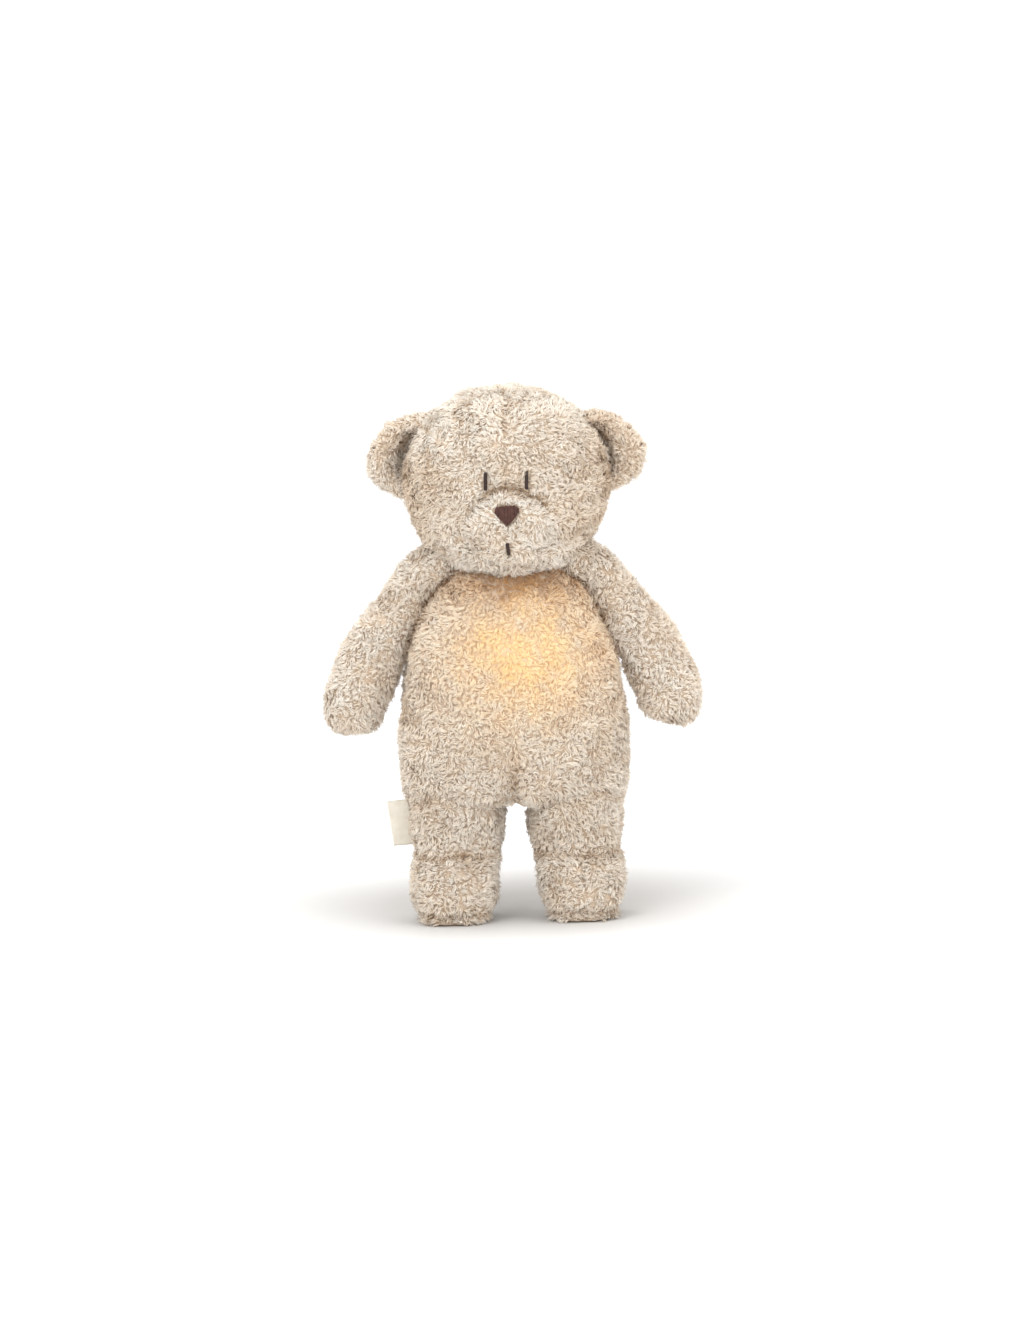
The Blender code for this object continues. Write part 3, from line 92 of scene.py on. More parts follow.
def waves(points, size, seed, count=10):
    """A smooth random field of about unit size, from plane waves about size long."""
    rng = np.random.default_rng(seed)
    ways = rng.normal(size=(count, 3))
    ways /= np.linalg.norm(ways, axis=1)[:, None]
    ways *= math.tau / size * rng.uniform(0.7, 1.4, (count, 1))
    phases = rng.uniform(0, math.tau, count)
    return np.sin(points @ ways.T + phases).sum(axis=1) * math.sqrt(2 / count)


def unit(vectors):
    return vectors / np.maximum(np.linalg.norm(vectors, axis=-1, keepdims=True), 1e-12)


def soft_step(low, high, value):
    share = np.clip((value - low) / (high - low), 0, 1)
    return share * share * (3 - 2 * share)


def bump(distance, width):
    return np.exp(-((distance / width) ** 2))


def mark(seam, distance):
    """How far a seam pushes the cloth at a distance from it: a seam is its push and its half width."""
    return seam[0] * bump(distance, seam[1])


def points_of(*columns):
    """Coordinates that are broadcast together, as points."""
    return np.stack(np.broadcast_arrays(*columns), axis=-1)


def turns(count):
    return np.linspace(0, math.tau, count, endpoint=False)


def lengths_along(line):
    return np.concatenate([[0], np.cumsum(np.linalg.norm(np.diff(line, axis=0), axis=1))])


# Forms as numbers, before they are meshes


class Shape:
    """Points, with quads and triangles between them."""

    def __init__(self, points, quads, tris):
        self.points = points
        self.quads = quads
        self.tris = tris

    def triangles(self):
        return np.concatenate([self.quads[:, :3], self.quads[:, [0, 2, 3]], self.tris])

    def corners(self):
        return (self.points[self.triangles()[:, side]] for side in range(3))

    def normals(self):
        a, b, c = self.corners()
        areas = np.cross(b - a, c - a)
        total = np.zeros_like(self.points)
        for side in range(3):
            np.add.at(total, self.triangles()[:, side], areas)
        return unit(total)

    def push(self, distance):
        """Moves every point along its normal, by one distance or one each."""
        self.points += self.normals() * np.reshape(distance, (-1, 1))


class Skin(Shape):
    """A closed loft over rings of points, with its faces turned outward."""

    def __init__(self, rings):
        rings = np.asarray(rings)
        rows, cols = rings.shape[:2]
        ring = np.arange(cols)
        after = (ring + 1) % cols
        base = np.arange(rows - 1)[:, None] * cols
        quads = points_of(base + ring, base + after, base + after + cols, base + ring + cols).reshape(-1, 4)
        end = rows * cols
        top = end - cols
        tris = np.concatenate([points_of(after, ring, end), points_of(top + ring, top + after, end + 1)])
        ends = np.stack([rings[0].mean(axis=0), rings[-1].mean(axis=0)])
        super().__init__(np.concatenate([rings.reshape(-1, 3), ends]), quads, tris)
        a, b, c = self.corners()
        if np.einsum("ij,ij->i", a, np.cross(b, c)).sum() < 0:
            self.quads = self.quads[:, ::-1]
            self.tris = self.tris[:, ::-1]


def slab(front, back):
    """A closed sheet of cloth between two grids of points."""
    rows, cols = front.shape[:2]
    size = rows * cols
    grid = np.arange(size).reshape(rows, cols)
    near = points_of(grid[:-1, :-1], grid[:-1, 1:], grid[1:, 1:], grid[1:, :-1]).reshape(-1, 4)
    border = np.concatenate([grid[0, :-1], grid[:-1, -1], grid[-1, :0:-1], grid[:0:-1, 0]])
    following = np.roll(border, -1)
    edge = points_of(following, border, border + size, following + size)
    points = np.concatenate([front.reshape(-1, 3), back.reshape(-1, 3)])
    return Shape(points, np.concatenate([near, near[:, [0, 3, 2, 1]] + size, edge]), np.zeros((0, 3), int))


def joined(shapes):
    """Several shapes as one."""
    shifts = np.cumsum([0] + [len(shape.points) for shape in shapes[:-1]])
    points = np.concatenate([shape.points for shape in shapes])
    quads = np.concatenate([shape.quads + shift for shape, shift in zip(shapes, shifts)])
    tris = np.concatenate([shape.tris + shift for shape, shift in zip(shapes, shifts)])
    return Shape(points, quads, tris)


def superellipse(segments, power):
    angles = turns(segments)
    return [np.sign(part) * np.abs(part) ** (2 / power) for part in (np.cos(angles), np.sin(angles))]


# How far out a point counts as, where a form has no ring at its height.
FAR_OUT = 9.0


class Upright:
    """A form of level rings: height, middle x, middle y, half width and half depth of each."""

    def __init__(self, rows, power, count):
        self.rows = smooth_rows(rows, count)
        self.rising = self.rows[np.argsort(self.rows[:, 0])]
        self.power = power

    def skin(self, segments):
        across, along = superellipse(segments, self.power)
        z, x, y, width, depth = self.rows.T[:, :, None]
        return Skin(points_of(x + width * across, y + depth * along, z))

    def at(self, height):
        """Middle x, middle y, half width and half depth at a height."""
        return [np.interp(height, self.rising[:, 0], column) for column in self.rising.T[1:]]

    def reach(self, points):
        """How far out each point lies: under 1 within the form, over 1 outside it."""
        x, y, width, depth = self.at(points[:, 2])
        across = np.abs((points[:, 0] - x) / width) ** self.power
        along = np.abs((points[:, 1] - y) / depth) ** self.power
        low, high = self.rising[[0, -1], 0]
        between = (points[:, 2] > low) & (points[:, 2] < high)
        return np.where(between, (across + along) ** (1 / self.power), FAR_OUT)

    def surface(self, x, z, way):
        """The y of its surface at places seen from behind, or from in front where the way is -1."""
        _, middle, width, depth = self.at(z)
        across = np.clip(np.abs(x / width), 0, 0.995)
        return middle + way * depth * (1 - across**self.power) ** (1 / self.power)


# Torso and head: height share, half width share, half depth share.
TORSO_SHARES = (
    (0.000, 0.870, 0.640),
    (0.020, 0.940, 0.740),
    (0.070, 0.986, 0.840),
    (0.160, 1.000, 0.925),
    (0.240, 1.000, 0.975),
    (0.350, 0.985, 0.995),
    (0.450, 0.965, 1.000),
    (0.550, 0.938, 0.995),
    (0.640, 0.898, 0.968),
    (0.720, 0.846, 0.920),
    (0.795, 0.776, 0.850),
    (0.855, 0.714, 0.770),
    (0.907, 0.645, 0.690),
    (0.950, 0.560, 0.610),
    (0.980, 0.460, 0.520),
    (1.000, 0.350, 0.410),
)
TORSO_POWER = 2.2
TORSO_HALF_DEPTH = 43.0 * MM
TORSO_TOP_Z = 197.5 * MM
HEAD_SHARES = (
    (0.000, 0.120, 0.139),
    (0.015, 0.285, 0.325),
    (0.045, 0.450, 0.522),
    (0.090, 0.595, 0.696),
    (0.145, 0.702, 0.815),
    (0.220, 0.818, 0.900),
    (0.320, 0.930, 0.965),
    (0.430, 0.985, 0.995),
    (0.520, 0.995, 1.000),
    (0.610, 0.975, 0.985),
    (0.700, 0.915, 0.940),
    (0.790, 0.815, 0.855),
    (0.860, 0.702, 0.735),
    (0.920, 0.550, 0.590),
    (0.965, 0.370, 0.400),
    (0.990, 0.170, 0.180),
)
HEAD_POWER = 2.05
HEAD_HALF_DEPTH = 50.0 * MM
# The plump chin hangs a little under the solid's, and the crown is a little flatter.
CHIN_DROP = 3.8 * MM
CROWN_DROP = 1.2 * MM

# Leg and foot in one: height, share of the way from hip to foot, middle and half sizes, in millimetres.
HIP_X = 32.6 * MM
FOOT_X = 35.5 * MM
LEG_ROWS = (
    (0.6, 1.00, -10.0, 16.6, 26.6),
    (2.2, 1.00, -10.0, 18.8, 28.9),
    (7.0, 1.00, -10.0, 21.8, 31.8),
    (14.0, 0.98, -9.2, 23.8, 32.2),
    (22.0, 0.85, -7.0, 24.4, 30.4),
    (29.0, 0.60, -4.4, 24.2, 27.6),
    (35.0, 0.30, -2.0, 24.3, 25.0),
    (40.0, 0.10, -0.8, 24.8, 24.2),
    (47.0, 0.00, -0.4, 26.0, 25.0),
    (56.0, 0.00, -0.4, 26.9, 27.6),
    (66.0, 0.00, -0.4, 26.6, 29.6),
    (75.0, 0.00, 0.0, 24.0, 27.5),
    (81.0, 0.00, 0.0, 18.0, 18.0),
    (83.6, 0.00, 0.0, 8.0, 6.0),
)
LEG_POWER = 2.6
# Sole panel: share of the foot's lowest outline, then height in millimetres.
SOLE_ROWS = (
    *((share, 0.0) for share in (0.02, 0.4, 0.8)),
    (0.9, 0.1),
    (0.95, 0.45),
    (0.96, 0.9),
    *((share, 1.3) for share in (0.9, 0.4, 0.02)),
)

# Muzzle: an ellipsoid sunk in the front of the head.
MUZZLE_HALF = (25.0 * MM, 15.0 * MM, 21.0 * MM)
MUZZLE_Y = MIDDLE_Y - 38.75 * MM
MUZZLE_Z = 219.0 * MM


def share_form(node, low_z, high_z, half_depth, shares, power, count):
    """The upright form of a node from its table of shares, between two heights."""
    low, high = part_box(node)
    half_width = (high.x - low.x) / 2
    rows = [
        (low_z + (high_z - low_z) * height, 0.0, MIDDLE_Y, half_width * width, half_depth * deep)
        for height, width, deep in shares
    ]
    return Upright(rows, power, count)


def leg_form(side):
    rows = [
        (z * MM, side * (HIP_X + (FOOT_X - HIP_X) * out), MIDDLE_Y + y * MM, width * MM, depth * MM)
        for z, out, y, width, depth in LEG_ROWS
    ]
    return Upright(rows, LEG_POWER, 110)


TORSO_LOW_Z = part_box("torso")[0].z
HEAD_LOW_Z, HEAD_HIGH_Z = (corner.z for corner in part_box("head"))
HEAD_ENDS = (HEAD_LOW_Z - CHIN_DROP, HEAD_HIGH_Z - CROWN_DROP)
FORMS = {
    "torso": share_form("torso", TORSO_LOW_Z, TORSO_TOP_Z, TORSO_HALF_DEPTH, TORSO_SHARES, TORSO_POWER, 150),
    "head": share_form("head", *HEAD_ENDS, HEAD_HALF_DEPTH, HEAD_SHARES, HEAD_POWER, 130),
    **{word + "_leg": leg_form(side) for side, word in SIDES},
}

# Arm: way out from the shoulder, way down, radius and depth, as shares. Its root runs in under the head.
ARM_SHARES = (
    (-0.420, -0.135, 0.420, 1.15),
    (-0.360, -0.125, 0.620, 1.15),
    (-0.220, -0.095, 0.720, 1.15),
    (-0.060, -0.045, 0.740, 1.12),
    (0.100, 0.015, 0.730, 1.08),
    (0.210, 0.085, 0.735, 1.02),
    (0.370, 0.215, 0.820, 0.96),
    (0.610, 0.400, 0.930, 0.92),
    (0.800, 0.600, 0.985, 0.90),
    (0.925, 0.770, 0.985, 0.90),
    (0.978, 0.880, 0.890, 0.90),
    (0.995, 0.950, 0.680, 0.90),
    (1.000, 0.990, 0.380, 0.90),
    (1.000, 1.000, 0.120, 0.90),
)
ARM_REACH = 46.0 * MM
ARM_DROP = 88.0 * MM
ARM_RADIUS = 19.0 * MM


def arm_line(side):
    """The arm's middle line, its radii and how deep it is for each radius."""
    shoulder = HINGES["left_arm_raise"]
    out, fall, radius, deep = smooth_rows(ARM_SHARES, 120).T
    spots = points_of(side * (shoulder[0] + ARM_REACH * out), MIDDLE_Y, shoulder[2] - ARM_DROP * fall)
    return spots, ARM_RADIUS * radius, deep


def arm_form(side):
    spots, radii, deep = arm_line(side)
    ahead = unit(np.gradient(spots, axis=0))
    across = points_of(ahead[:, 2], 0.0, -ahead[:, 0])
    angles = turns(110)[None, :, None]
    reach = radii[:, None, None] * across[:, None, :] * np.cos(angles)
    depth = (radii * deep)[:, None, None] * np.array((0, 1, 0)) * np.sin(angles)
    return Skin(spots[:, None, :] + reach + depth)


def arm_reach(points, side):
    """How far out each point lies from the arm's middle line, as a share of its radius there."""
    spots, radii, _ = arm_line(side)
    best = np.full(len(points), FAR_OUT)
    for spot, radius in zip(spots[::3], radii[::3]):
        best = np.minimum(best, np.linalg.norm(points - spot, axis=1) / radius)
    return best


# Ear: distance from its middle and place from front to back, as shares of radius and depth.
EAR_PROFILE_SHARES = (
    (0.00, 0.62),
    (0.10, 0.60),
    (0.19, 0.53),
    (0.25, 0.38),
    (0.32, 0.20),
    (0.44, 0.05),
    (0.62, 0.00),
    (0.80, 0.07),
    (0.94, 0.25),
    (1.00, 0.50),
    (0.95, 0.76),
    (0.80, 0.92),
    (0.55, 1.00),
    (0.25, 1.00),
    (0.02, 1.00),
)
EAR_X = 54.0 * MM
EAR_FRONT_Y = MIDDLE_Y - 6.5 * MM
EAR_DEPTH = 17.0 * MM
EAR_RADIUS = 24.0 * MM
# The hollow of the ear lies nearer the head than the ear's middle, and its top leans to the head.
EAR_HOLLOW_SHIFT = 0.5 * MM
EAR_HOLLOW_STRETCH = 0.8
EAR_TOP_LEAN = 0.28
EAR_FRONT_FOLD = 3.5 * MM


def ear_middle(side):
    return np.array((side * EAR_X, EAR_FRONT_Y + EAR_DEPTH / 2, HINGES["left_ear_fold"][2]))


def ear_form(side):
    out, back = smooth_rows(EAR_PROFILE_SHARES, 70).T[:, :, None]
    angles = turns(100)
    middle = ear_middle(side)
    hollow = soft_step(0.75, 0.2, out) * (back < 0.8)
    rise = EAR_RADIUS * out * (1 + EAR_HOLLOW_STRETCH * hollow) * np.sin(angles)
    reach = EAR_RADIUS * out * np.cos(angles)
    lean = EAR_HOLLOW_SHIFT * hollow + EAR_TOP_LEAN * np.maximum(rise, 0)
    outer = soft_step(0.2 * EAR_RADIUS, EAR_RADIUS, reach)
    y = EAR_FRONT_Y + EAR_DEPTH * back - EAR_FRONT_FOLD * outer * (1 - back)
    return Skin(points_of(middle[0] + side * (reach - lean), y, middle[2] + rise))


# Seams and creases: how far out each pushes the cloth, and its half width.
SIDE_SEAM = (-0.9 * MM, 1.6 * MM)
CROTCH_CREASE = (-5.0 * MM, 5.0 * MM)
BELLY_SEAM = (-0.35 * MM, 1.8 * MM)
BROW_SEAM = (-0.9 * MM, 2.0 * MM)
ANKLE_CREASE = (-1.1 * MM, 2.6 * MM)
TOE_FULLNESS = (0.6 * MM, 7.0 * MM)
SOLE_SEAM = (-1.0 * MM, 1.4 * MM)
FOOT_SEAM = (-0.8 * MM, 1.6 * MM)
ANKLE_Z = 38.0 * MM
TOE_FULL_Z = 29.0 * MM
ANKLE_SLOPE = 0.10
SOLE_SEAM_Z = 5.5 * MM
SOLE_TOP_Z = 1.5 * MM
LOWEST_SKIN_Z = 0.5 * MM
# Heights and depths where a seam or a fullness starts, and where it is full.
CROTCH_Z = (104 * MM, 66 * MM)
BELLY_SEAM_Z = (84 * MM, 100 * MM)
BROW_SEAM_Z = (232 * MM, 245 * MM)
TOE_Y = (MIDDLE_Y + 12 * MM, MIDDLE_Y - 12 * MM)
# The arc of the seam over the muzzle, seen from the front, and the full top of the muzzle under it.
MUZZLE_SEAM_X = 0.5 * MM
MUZZLE_SEAM_Z = 239.5 * MM
MUZZLE_SEAM_DROP = 12.5 * MM
MUZZLE_SEAM_HALF_WIDTH = 22.0 * MM
MUZZLE_CREASE = (-2.9 * MM, 2.6 * MM)
MUZZLE_DOME = (1.1 * MM, 6.0 * MM)
MUZZLE_CREASE_RISE = 1.0 * MM
MUZZLE_DOME_DROP = 7.5 * MM
MUZZLE_FRONT_Y = MIDDLE_Y - 30 * MM
# The fabric lies this far under the tips of the pile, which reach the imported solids' surface.
SKIN_INSET = 2.6 * MM
# Lumps of the stuffing: how high they are, and how far apart.
LUMPS = 0.5 * MM
TORSO_LUMPS = 0.7 * MM
HEAD_LUMP_SIZE = 26 * MM
TORSO_LUMP_SIZE = 34 * MM
LEG_LUMP_SIZE = 22 * MM
LIMB_LUMP_SIZE = 20 * MM
# The torso is smooth this far round the flap.
SMOOTH_MARGIN = 8 * MM


def in_muzzle(points):
    centre = np.array((0.0, MUZZLE_Y, MUZZLE_Z))
    return np.linalg.norm((points - centre) / np.array(MUZZLE_HALF), axis=1) < 1


def muzzle_marks(points):
    """How deep the seam over the muzzle and how full the muzzle's top is at each point, from 0 to 1."""
    across = (points[:, 0] - MUZZLE_SEAM_X) / MUZZLE_SEAM_HALF_WIDTH
    above = points[:, 2] - (MUZZLE_SEAM_Z - MUZZLE_SEAM_DROP * across**2)
    side = soft_step(1.12, 0.85, np.abs(across)) * (points[:, 1] < MUZZLE_FRONT_Y)
    crease = bump(above - MUZZLE_CREASE_RISE, MUZZLE_CREASE[1]) * side
    return crease, bump(above + MUZZLE_DOME_DROP, MUZZLE_DOME[1]) * side


def head_skin():
    """The head and its muzzle in one skin, with the seam round the muzzle and the one over the forehead."""
    skin = FORMS["head"].skin(220)
    middle = np.array((0.0, MIDDLE_Y, skin.points[:, 2].mean()))
    rays = skin.points - middle
    low, high = np.ones(len(rays)), np.full(len(rays), 1.6)
    started_in = in_muzzle(skin.points)
    for _ in range(24):
        half = (low + high) / 2
        inside = in_muzzle(middle + rays * half[:, None])
        low = np.where(inside, half, low)
        high = np.where(inside, high, half)
    skin.points = middle + rays * np.where(started_in, low, 1.0)[:, None]
    front = skin.points[:, 1] < MIDDLE_Y
    crease, dome = muzzle_marks(skin.points)
    skin.push(front * (MUZZLE_DOME[0] * dome + MUZZLE_CREASE[0] * crease))
    skin.push(mark(BROW_SEAM, skin.points[:, 0]) * soft_step(*BROW_SEAM_Z, skin.points[:, 2]) * front)
    skin.push(-SKIN_INSET + LUMPS * waves(skin.points, HEAD_LUMP_SIZE, 3))
    return skin


def torso_skin():
    """The torso with its side seams, the crease between the legs and the recess under the flap."""
    skin = FORMS["torso"].skin(240)
    points = skin.points
    front = points[:, 1] < MIDDLE_Y
    skin.push(mark(SIDE_SEAM, np.abs(points[:, 1] - MIDDLE_Y)))
    skin.push(mark(CROTCH_CREASE, points[:, 0]) * soft_step(*CROTCH_Z, points[:, 2]))
    skin.push(mark(BELLY_SEAM, points[:, 0]) * front * soft_step(*BELLY_SEAM_Z, points[:, 2]))
    inset = np.full(len(points), SKIN_INSET)
    inset[FLAP.within(points, FLAP_GAP) > 0] = FLAP_FLOOR
    inset[STRIP_PIT.within(points, FLAP_GAP) > 0] = STRIP_FLOOR
    lumpy = FLAP.within(points, SMOOTH_MARGIN) <= 0
    skin.push(TORSO_LUMPS * waves(points, TORSO_LUMP_SIZE, 5) * lumpy - inset)
    points[PIT.within(points) > 0, 1] = PIT_FLOOR_Y
    return skin


def above_ankle(points):
    return points[:, 2] - ANKLE_Z - ANKLE_SLOPE * (points[:, 1] - MIDDLE_Y)


def leg_skin(word, side):
    skin = FORMS[word + "_leg"].skin(130)
    points = skin.points
    skin.push(mark(ANKLE_CREASE, above_ankle(points)))
    front = soft_step(*TOE_Y, points[:, 1])
    skin.push(mark(TOE_FULLNESS, points[:, 2] - TOE_FULL_Z) * front)
    skin.push(mark(SOLE_SEAM, points[:, 2] - SOLE_SEAM_Z) * front)
    skin.push(mark(FOOT_SEAM, points[:, 0] - side * FOOT_X) * front * (points[:, 2] < ANKLE_Z))
    sole = points[:, 2] < SOLE_TOP_Z
    skin.push(np.where(sole, 0.0, -SKIN_INSET) + LUMPS * waves(points, LEG_LUMP_SIZE, 7 + side) * ~sole)
    points[:, 2] = np.maximum(points[:, 2], LOWEST_SKIN_Z)
    return skin


def sole_skin(word):
    """The flat short-napped panel under a foot, rounded over at its sewn edge."""
    _, x, y, width, depth = FORMS[word + "_leg"].rising[0]
    across, along = superellipse(130, LEG_POWER)
    rings = [(x + width * share * across, y + depth * share * along, z * MM) for share, z in SOLE_ROWS]
    return Skin([points_of(*ring) for ring in rings])


def limb_skin(skin, seed):
    skin.push(-SKIN_INSET + LUMPS * waves(skin.points, LIMB_LUMP_SIZE, seed))
    return skin


# Patches of the back, threads, tapes and linings


def along_line(line, spots):
    """The places at given lengths along a line of points."""
    along = lengths_along(line)
    return points_of(*(np.interp(spots, along, column) for column in line.T))


class Patch:
    """A rectangle with round corners on the bear's back."""

    def __init__(self, half_width, low_z, high_z, corner):
        self.half_width = half_width
        self.half_height = (high_z - low_z) / 2
        self.middle_z = (low_z + high_z) / 2
        self.corner = corner

    def within(self, points, margin=0.0):
        """How far within the patch, grown by a margin, each point of the back lies, under zero outside it."""
        across = np.abs(points[:, 0]) - (self.half_width + margin - self.corner)
        up = np.abs(points[:, 2] - self.middle_z) - (self.half_height + margin - self.corner)
        outside = np.hypot(np.maximum(across, 0), np.maximum(up, 0))
        out = outside + np.minimum(np.maximum(across, up), 0) - self.corner
        return np.where(points[:, 1] > MIDDLE_Y, -out, -1.0)

    def outline(self, inset=0.0, share=1.0, count=160):
        """Evenly spaced places round the patch, an inset within its edge, then drawn in by a share."""
        half_width = self.half_width - inset
        half_height = self.half_height - inset
        corner = max(self.corner - inset, LEAST_CORNER)
        quarter = np.linspace(0, math.pi / 2, 24)
        start = [(half_width, 0.0)]
        line = [start]
        for number, (side, up) in enumerate(((1, 1), (-1, 1), (-1, -1), (1, -1))):
            turn = quarter + number * math.pi / 2
            x = side * (half_width - corner) + corner * np.cos(turn)
            line.append(points_of(x, up * (half_height - corner) + corner * np.sin(turn)))
        line = np.concatenate([*line, start])
        spots = np.linspace(0, lengths_along(line)[-1], count, endpoint=False)
        return along_line(line, spots) * share + (0.0, self.middle_z)

    def pad(self, rows):
        """A pad that follows the back within the patch: rows of outline share and depth in millimetres."""
        return Skin([back_points(*self.outline(share=share).T, depth * MM) for share, depth in rows])

    def seam(self, inset, depth):
        """Stitches in a closed line on the back, an inset within the patch."""
        spots = self.outline(inset)
        return dashes(back_points(*np.concatenate([spots, spots[:1]]).T, depth))


FLAP_LOW, FLAP_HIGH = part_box("closure_flap")
STRIP_LOW, STRIP_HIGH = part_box("loop_strip")
LINER_LOW, LINER_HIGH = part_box("pocket_liner")
POCKET_CORNER = 14.0 * MM
FLAP = Patch(FLAP_HIGH.x, FLAP_LOW.z, FLAP_HIGH.z, 10.0 * MM)
STRIP = Patch(STRIP_HIGH.x, STRIP_LOW.z, STRIP_HIGH.z, 1.2 * MM)
POCKET = Patch(LINER_HIGH.x, LINER_LOW.z, LINER_HIGH.z, POCKET_CORNER)
# The torso's hollows: one with square corners for the strip, and one a little wider than the pocket.
STRIP_PIT = Patch(STRIP_HIGH.x, STRIP_LOW.z, STRIP_HIGH.z, 0.0)
PIT = Patch(LINER_HIGH.x + 2.0 * MM, LINER_LOW.z - 0.8 * MM, LINER_HIGH.z + 2.0 * MM, POCKET_CORNER)
PIT_FLOOR_Y = LINER_LOW.y - 0.8 * MM
LEAST_CORNER = 0.5 * MM
FLAP_GAP = 0.6 * MM
FLAP_FLOOR = 5.5 * MM
STRIP_FLOOR = 7.6 * MM
SHARES_IN = (0.02, 0.2, 0.4, 0.6, 0.75, 0.86, 0.94)


def sheet_rows(front, edge, back):
    """Rows of outline share and depth in millimetres: out over the front, round the edge and back in."""
    return *((share, front) for share in SHARES_IN), *edge, *((share, back) for share in reversed(SHARES_IN))


FLAP_ROWS = sheet_rows(2.6, ((0.975, 2.65), (0.992, 2.85), (1.0, 3.2), (0.992, 3.5), (0.975, 3.6)), 3.6)
FLAP_LINING_ROWS = sheet_rows(3.62, ((0.96, 3.64), (0.968, 3.8), (0.96, 3.97)), 4.0)
# A stretch below the flap's sewn top edge, given as a bend between torso and flap; the pieces given it are
# only fixed in place.
FLAP_BEND_TOP = 2.0 * MM
FLAP_BEND_LENGTH = 9.0 * MM
BACK_STEP = 1.0 * MM


def flap_bend():
    _, y, z = HINGES["flap_open"]
    top = z + FLAP_BEND_TOP
    return "torso", "flap", (0.0, y, top), (0.0, y, top - FLAP_BEND_LENGTH)


def back_points(x, z, depth):
    """Places on the bear's back, a depth under the pile's surface, along its normal."""
    torso = FORMS["torso"]
    slope_x, slope_z = (
        (torso.surface(x + over, z + up, 1) - torso.surface(x - over, z - up, 1)) / (2 * BACK_STEP)
        for over, up in ((BACK_STEP, 0.0), (0.0, BACK_STEP))
    )
    normal = unit(points_of(-slope_x, 1.0, -slope_z))
    return points_of(x, torso.surface(x, z, 1), z) - normal * np.reshape(depth, (-1, 1))


def front_y(x, z):
    """Where the pile's surface lies on the face, on the head or the muzzle, whichever is further forward."""
    head = FORMS["head"].surface(x, z, -1)
    left = 1 - (x / MUZZLE_HALF[0]) ** 2 - ((z - MUZZLE_Z) / MUZZLE_HALF[2]) ** 2
    muzzle = MUZZLE_Y - MUZZLE_HALF[1] * np.sqrt(np.maximum(left, 0))
    return np.where(left > 0, np.minimum(head, muzzle), head)


def strand(path, radius, sides=8, plies=3, pitch=2.2 * MM):
    """A twisted thread along a path."""
    ahead = unit(np.gradient(path, axis=0))
    across = unit(np.cross(ahead, (0.0, 1.0, 0.0)))
    up = np.cross(across, ahead)
    angles = turns(sides)
    twist = plies * angles - math.tau * lengths_along(path)[:, None] / pitch
    share = np.linspace(0, 1, len(path))
    taper = np.minimum(1, np.minimum(share, 1 - share) / 0.06 + 0.3)
    size = radius * taper[:, None] * (1 + 0.10 * np.cos(twist))
    circle = across[:, None] * np.cos(angles)[:, None] + up[:, None] * np.sin(angles)[:, None]
    return Skin(path[:, None] + size[..., None] * circle)


DASH_LENGTH = 2.0 * MM
DASH_SPACE = 1.1 * MM
DASH_RADIUS = 0.16 * MM
DASH_PITCH = 0.8 * MM


def dashes(line):
    """A row of sewn stitches along a line."""
    starts = np.arange(0, lengths_along(line)[-1] - DASH_LENGTH, DASH_LENGTH + DASH_SPACE)
    stitches = [along_line(line, start + np.linspace(0, DASH_LENGTH, 7)) for start in starts]
    return [strand(stitch, DASH_RADIUS, sides=6, plies=2, pitch=DASH_PITCH) for stitch in stitches]


FACING_STEPS = 14
FACING_TOP = 4.15 * MM
FACING_UNDER = 4.6 * MM
FACING_DIP = 2.3 * MM
# The dip starts this far outside the strip, and is full this near to it.
DIP_START = 1.4 * MM
DIP_FULL = 0.3 * MM
# The pocket: its front, its mouth under the back's surface, and how far in its walls and floors lie.
CUP_FRONT_Y = LINER_LOW.y + 0.2 * MM
CUP_MOUTH_DEPTH = FACING_TOP + 0.3 * MM
CUP_OUTER_FLOOR_INSET = 1.2 * MM
CUP_INNER_FLOOR_INSET = 1.5 * MM
CUP_INNER_WALL_INSET = 0.62 * MM
FACING_EDGE_INSET = -0.2 * MM
CUP_FLOOR_SHARES = (0.02, 0.35, 0.7, 1.0)
CUP_CLOTH = 0.65 * MM


def facing_depth(spots, depth):
    """How far under the back's surface the lining lies, deeper where the loop strip is let in."""
    dip = FACING_DIP
    for away, half in ((spots[:, 0], STRIP.half_width), (spots[:, 1] - STRIP.middle_z, STRIP.half_height)):
        dip = dip * soft_step(half + DIP_START, half + DIP_FULL, np.abs(away))
    return depth + dip


def pocket_cup():
    """The sewn pocket that holds the module, in one with the lining of the whole recess round its mouth."""
    rings = []

    def ring(inset, share, low_y, rise=0.0):
        spots = POCKET.outline(inset, share, 240)
        top = back_points(*spots.T, CUP_MOUTH_DEPTH)[:, 1]
        rings.append(points_of(spots[:, 0], low_y + (top - low_y) * rise, spots[:, 1]))

    def facing(share, depth, inset=0.0):
        spots = POCKET.outline(count=240) * (1 - share) + FLAP.outline(inset, count=240) * share
        rings.append(back_points(*spots.T, facing_depth(spots, depth)))

    for share in CUP_FLOOR_SHARES:
        ring(CUP_OUTER_FLOOR_INSET, share, CUP_FRONT_Y)
    for rise in np.linspace(0.02, 0.98, 10):
        ring(0.0, 1.0, CUP_FRONT_Y, rise)
    for share in np.linspace(0.03, 1, FACING_STEPS):
        facing(share, FACING_UNDER)
    facing(1.0, (FACING_TOP + FACING_UNDER) / 2, FACING_EDGE_INSET)
    for share in np.linspace(1, 0.05, FACING_STEPS):
        facing(share, FACING_TOP)
    for rise in np.linspace(0.98, 0.03, 10):
        ring(CUP_INNER_WALL_INSET, 1.0, CUP_FRONT_Y + CUP_CLOTH, rise)
    for share in reversed(CUP_FLOOR_SHARES):
        ring(CUP_INNER_FLOOR_INSET, share, CUP_FRONT_Y + CUP_CLOTH)
    return Skin(rings)


